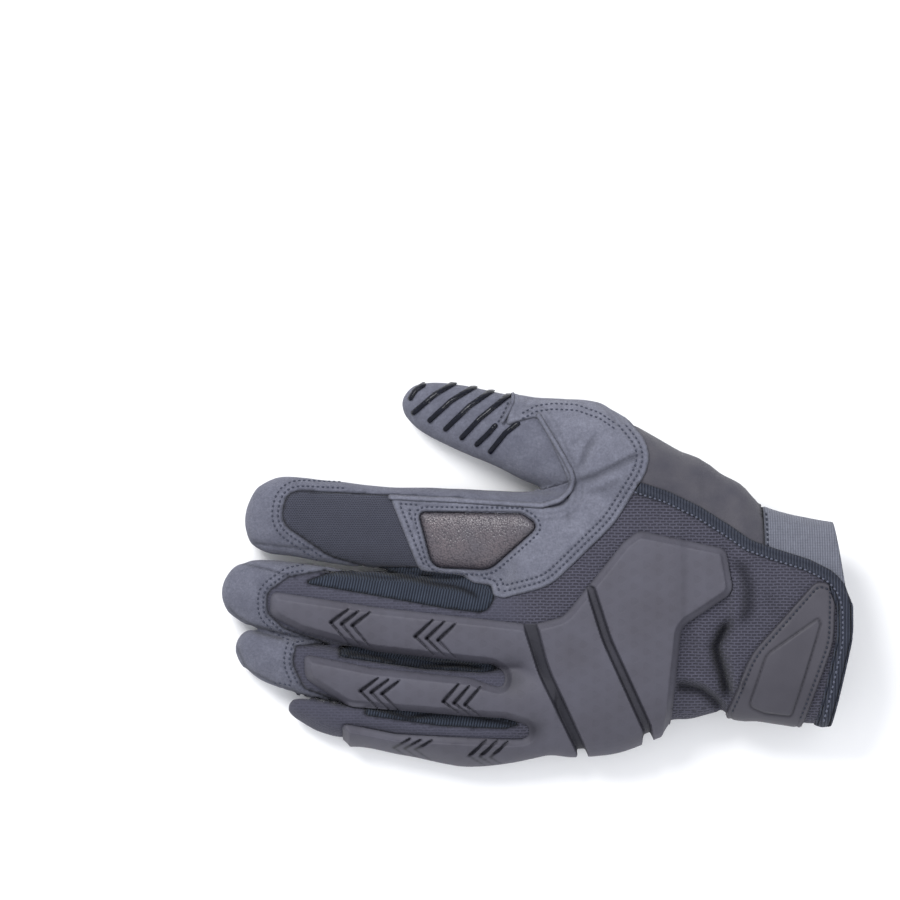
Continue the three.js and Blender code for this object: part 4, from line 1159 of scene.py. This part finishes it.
sewn_roll("thumb_saddle_welt", saddle_suede, open_line(WELT, 4), WELT_WIDTH, 1.0, SADDLE_EDGE_Z, 0.6)
for i, points in enumerate(THUMB_STRIPES):
    stripe(f"thumb_grip_{i + 1}", points, STRIPE_WIDTH, [f"thumb_stripe_{i + 1}"], THUMB_SEAM_Z + 2)
stripe("thumb_grip_tip", THUMB_TIP_STRIPE, STRIPE_WIDTH, low_z=THUMB_SEAM_Z)
for i in range(INDEX_STRIPES["count"]):
    x = INDEX_STRIPES["first"] + i * INDEX_STRIPES["step"]
    ends = [[x, INDEX_STRIPES[end]] for end in ("low", "high")]
    stripe(f"index_grip_{i + 1}", ends, INDEX_STRIPES["width"], [f"index_stripe_{i + 1}"], 0,
           PALM_PATCH_TOP_Z)
sewn_roll("thumb_tip_pad_edge", suede, np.array(TIP_PAD_EDGE), TIP_PAD_ROLL, 0.7, THUMB_SEAM_Z, 0.5)

# Stitches

STITCH = 1.2
STITCH_PITCH = 1.95
THREAD = 0.36
THREAD_SIDES = 6
STATIONS = np.array([0, 0.16, 0.5, 0.84, 1])
STATION_LIFT = np.array([-0.25, 0.05, 0.2, 0.05, -0.25])
STATION_WIDTH = np.array([0.4, 1, 1.1, 1, 0.4])
STEEPEST = 1.3
ELASTIC_ROW = [[-33.2, 37.0], [-33.8, 62.0]]
SLIT_ROW_SHIFT = [-0.9, -1.75]


def heights(places, rise, from_top):
    """How high a patch's outer face is at places in plan."""
    at = (places - LOW[:2]) / STEP
    columns = sampled(form, at) - sampled(rise, at)[:, None]
    solid = columns < 0
    if from_top:
        last = np.clip(Z.size - 1 - np.argmax(solid[:, ::-1], axis=1), 0, Z.size - 2)
        before = last + 1
    else:
        last = np.clip(np.argmax(solid, axis=1), 1, Z.size - 1)
        before = last - 1
    k = np.arange(len(places))
    inner, outer = columns[k, last], columns[k, before]
    crossing = solid.any(axis=1) & (inner < 0) & (outer > 0)
    share = inner / np.where(crossing, inner - outer, 1)
    return np.where(crossing, Z[last] + (Z[before] - Z[last]) * share, np.nan)


def split_runs(points, kept):
    """The runs of kept points along a closed line, as separate lines."""
    if kept.all():
        return [np.vstack([points, points[:1]])]
    start = int(np.argmin(kept))
    points, kept = np.roll(points, -start, axis=0), np.roll(kept, -start)
    bounds = np.flatnonzero(np.diff(np.concatenate([[False], kept, [False]]).astype(int)))
    return [points[a:b] for a, b in zip(bounds[::2], bounds[1::2]) if b - a > 5]


def inset_rows(name, insets, chosen=None):
    """Lines that follow an outline at distances inside it, or outside it where a distance is negative."""
    points = rounded(OUTLINES[name])
    ahead = np.roll(points, -1, axis=0) - points
    count = np.maximum((np.hypot(*ahead.T) / 0.4).astype(int), 1)
    dense = np.vstack([p + a * np.linspace(0, 1, n, endpoint=False)[:, None]
                       for p, a, n in zip(points, ahead, count)])
    travel = np.roll(dense, -3, axis=0) - np.roll(dense, 3, axis=0)
    across = np.stack([-travel[:, 1], travel[:, 0]], -1) / np.maximum(np.hypot(*travel.T), 1e-6)[:, None]
    if plan_values(plans[name], dense + across).mean() > plan_values(plans[name], dense - across).mean():
        across = -across
    rows = []
    for inset in insets:
        moved = dense + inset * across
        kept = np.abs(plan_values(plans[name], moved) + inset) < 0.25
        if chosen:
            kept &= chosen(moved[:, 0], moved[:, 1])
        rows += split_runs(moved, kept)
    return rows


def quadratic(first, middle, last):
    """Heights at the stations of a stitch from three of its heights."""
    t = STATIONS[None, :]
    a, b, c = first[:, None], middle[:, None], last[:, None]
    return a * (1 - t) * (1 - 2 * t) + b * 4 * t * (1 - t) + c * t * (2 * t - 1)


def stitches(name, rows, material, rise=plain, from_top=True):
    """Rows of short sewn threads that rise from the skin and go back into it."""
    starts, ends = [], []
    for row in rows:
        lengths = np.concatenate([[0], np.cumsum(np.hypot(*np.diff(row, axis=0).T))])
        at = np.arange(0, lengths[-1] - STITCH, STITCH_PITCH)
        starts.append(np.stack([np.interp(at, lengths, row[:, i]) for i in (0, 1)], -1))
        ends.append(np.stack([np.interp(at + STITCH, lengths, row[:, i]) for i in (0, 1)], -1))
    starts, ends = np.vstack(starts), np.vstack(ends)
    z = [heights(starts + t * (ends - starts), rise, from_top) for t in (0, 0.5, 1)]
    kept = np.isfinite(z[0] + z[1] + z[2]) & (np.abs(z[2] - z[0]) < STEEPEST * STITCH)
    starts, ends = starts[kept], ends[kept]
    z = quadratic(*(v[kept] for v in z)) + (1 if from_top else -1) * STATION_LIFT
    centres = starts[:, None, :] + STATIONS[None, :, None] * (ends - starts)[:, None, :]
    centres = np.concatenate([centres, z[:, :, None]], -1)
    travel = (ends - starts) / STITCH
    sideways = np.stack([-travel[:, 1], travel[:, 0], np.zeros(len(travel))], -1)
    angle = 2 * np.pi * np.arange(THREAD_SIDES) / THREAD_SIDES
    ring = THREAD * STATION_WIDTH[None, :, None, None] * (
        np.cos(angle)[None, None, :, None] * sideways[:, None, None, :]
        + np.sin(angle)[None, None, :, None] * np.array([0, 0, 1.0])
    )
    points = (centres[:, :, None, :] + ring).reshape(-1, 3)
    points[:, 2] = np.maximum(points[:, 2], 0)
    k = np.arange(THREAD_SIDES)
    after = (k + 1) % THREAD_SIDES
    tube = np.stack([k, k + THREAD_SIDES, after + THREAD_SIDES, after], -1)
    last = (len(STATIONS) - 1) * THREAD_SIDES
    caps = np.array([[0, 1, 2, 3], [0, 3, 4, 5]])
    one = np.vstack([*(tube + first for first in range(0, last, THREAD_SIDES)), caps, last + caps[:, ::-1]])
    faces = (np.arange(len(starts))[:, None, None] * len(STATIONS) * THREAD_SIDES + one[None]).reshape(-1, 4)
    return add_mesh(name, points, faces, material)


def off_welt(x, y):
    """Where the saddle's edge is not rolled, clear of its window."""
    from_window = plan_values(plans["insert"], np.stack([x, y], -1))
    return (from_window > WINDOW_ROW + 1.2) & ((y < 44) | (x < -158) | ((x > -104) & (y < 84)))


saddle_rows = inset_rows("saddle", STITCH_ROWS, off_welt) + inset_rows("insert", [-WINDOW_ROW])
saddle_rows += [open_line([[x, y - inward] for x, y in THUMB_TOP_ROW], 6) for inward in (0, 2.2)]
stitches("saddle_stitches", saddle_rows, suede_thread, saddle_rise)
cap_rows = inset_rows("index_panel", (-1.9, -4.1), lambda x, y: (x < -196) & ((x < -206) | (y > 48)))
cap_rows += inset_rows("back_panel", (-1.5, -3.6), lambda x, y: (x < -213) & (y > -18))
cap_rows.append(open_line([[x - 1.9, y - 0.6] for x, y in TIP_PAD_EDGE[1:]], 3))
stitches("fingertip_stitches", cap_rows, suede_thread)
stitches("tab_stitches", inset_rows("tab_top", [TAB_ROW]), dark_thread, tab_rise)
stitches("elastic_stitches", [np.array(ELASTIC_ROW)], dark_thread)
stitches("slit_stitches", [slit_line + SLIT_ROW_SHIFT], light_thread, binding_rise)
grip_rows = inset_rows("palm_grip", STITCH_ROWS)
stitches("palm_grip_stitches", grip_rows, light_thread, grip_rise, from_top=False)
for name, rise in pad_rises.items():
    stitches(f"{name}_stitches", inset_rows(name, PAD_ROWS), dark_thread, rise, from_top=False)


# The floor, light and camera

FLOOR_REACH = 3.0
WIDE = 900
PIXEL = 0.39  # millimetres
PHOTO_ORIGIN = (850, 640)  # where the pattern's origin is in the photograph
MIDDLE_HEIGHT = 20
LENS = 200.0
SENSOR = 36.0


def area_light(name, place, target, size, power):
    data = bpy.data.lights.new(name, "AREA")
    data.shape = "DISK"
    data.size = size
    data.energy = power
    light = bpy.data.objects.new(name, data)
    bpy.context.scene.collection.objects.link(light)
    light.location = place
    light.rotation_mode = "QUATERNION"
    light.rotation_quaternion = (Vector(target) - Vector(place)).to_track_quat("-Z", "Y")


floor_mesh = bpy.data.meshes.new("floor")
corners = [(x * FLOOR_REACH, y * FLOOR_REACH, 0) for x, y in ((-1, -1), (1, -1), (1, 1), (-1, 1))]
floor_mesh.from_pydata(corners, [], [(0, 1, 2, 3)])
floor = bpy.data.objects.new("floor", floor_mesh)
bpy.context.scene.collection.objects.link(floor)
floor_finish = Finish("floor", 0.9, specular=0.1)
floor_finish.shader.inputs["Base Color"].default_value = (0.97, 0.97, 0.97, 1)
floor_mesh.materials.append(floor_finish.material)

world = bpy.data.worlds.new("studio")
bpy.context.scene.world = world
world.use_nodes = True
sky = world.node_tree.nodes["Background"].inputs
sky["Color"].default_value = (0.93, 0.95, 1.0, 1)
sky["Strength"].default_value = 0.95
area_light("key", (-0.5, 0.7, 0.95), (0, 0, 0), 0.6, 13.0)
area_light("fill", (0.7, -0.4, 1.1), (0, 0, 0), 0.9, 3.5)
bpy.context.scene.view_settings.view_transform = "Standard"

centre = Vector(((WIDE / 2 - PHOTO_ORIGIN[0]) * PIXEL, (PHOTO_ORIGIN[1] - WIDE / 2) * PIXEL, 0)) + SHIFT
camera_data = bpy.data.cameras.new("camera")
camera_data.lens = LENS
camera_data.sensor_width = SENSOR
camera = bpy.data.objects.new("camera", camera_data)
bpy.context.scene.collection.objects.link(camera)
camera.location = (centre.x * MM, centre.y * MM, (WIDE * PIXEL * LENS / SENSOR + MIDDLE_HEIGHT) * MM)
camera_data.clip_end = 20
bpy.context.scene.camera = camera
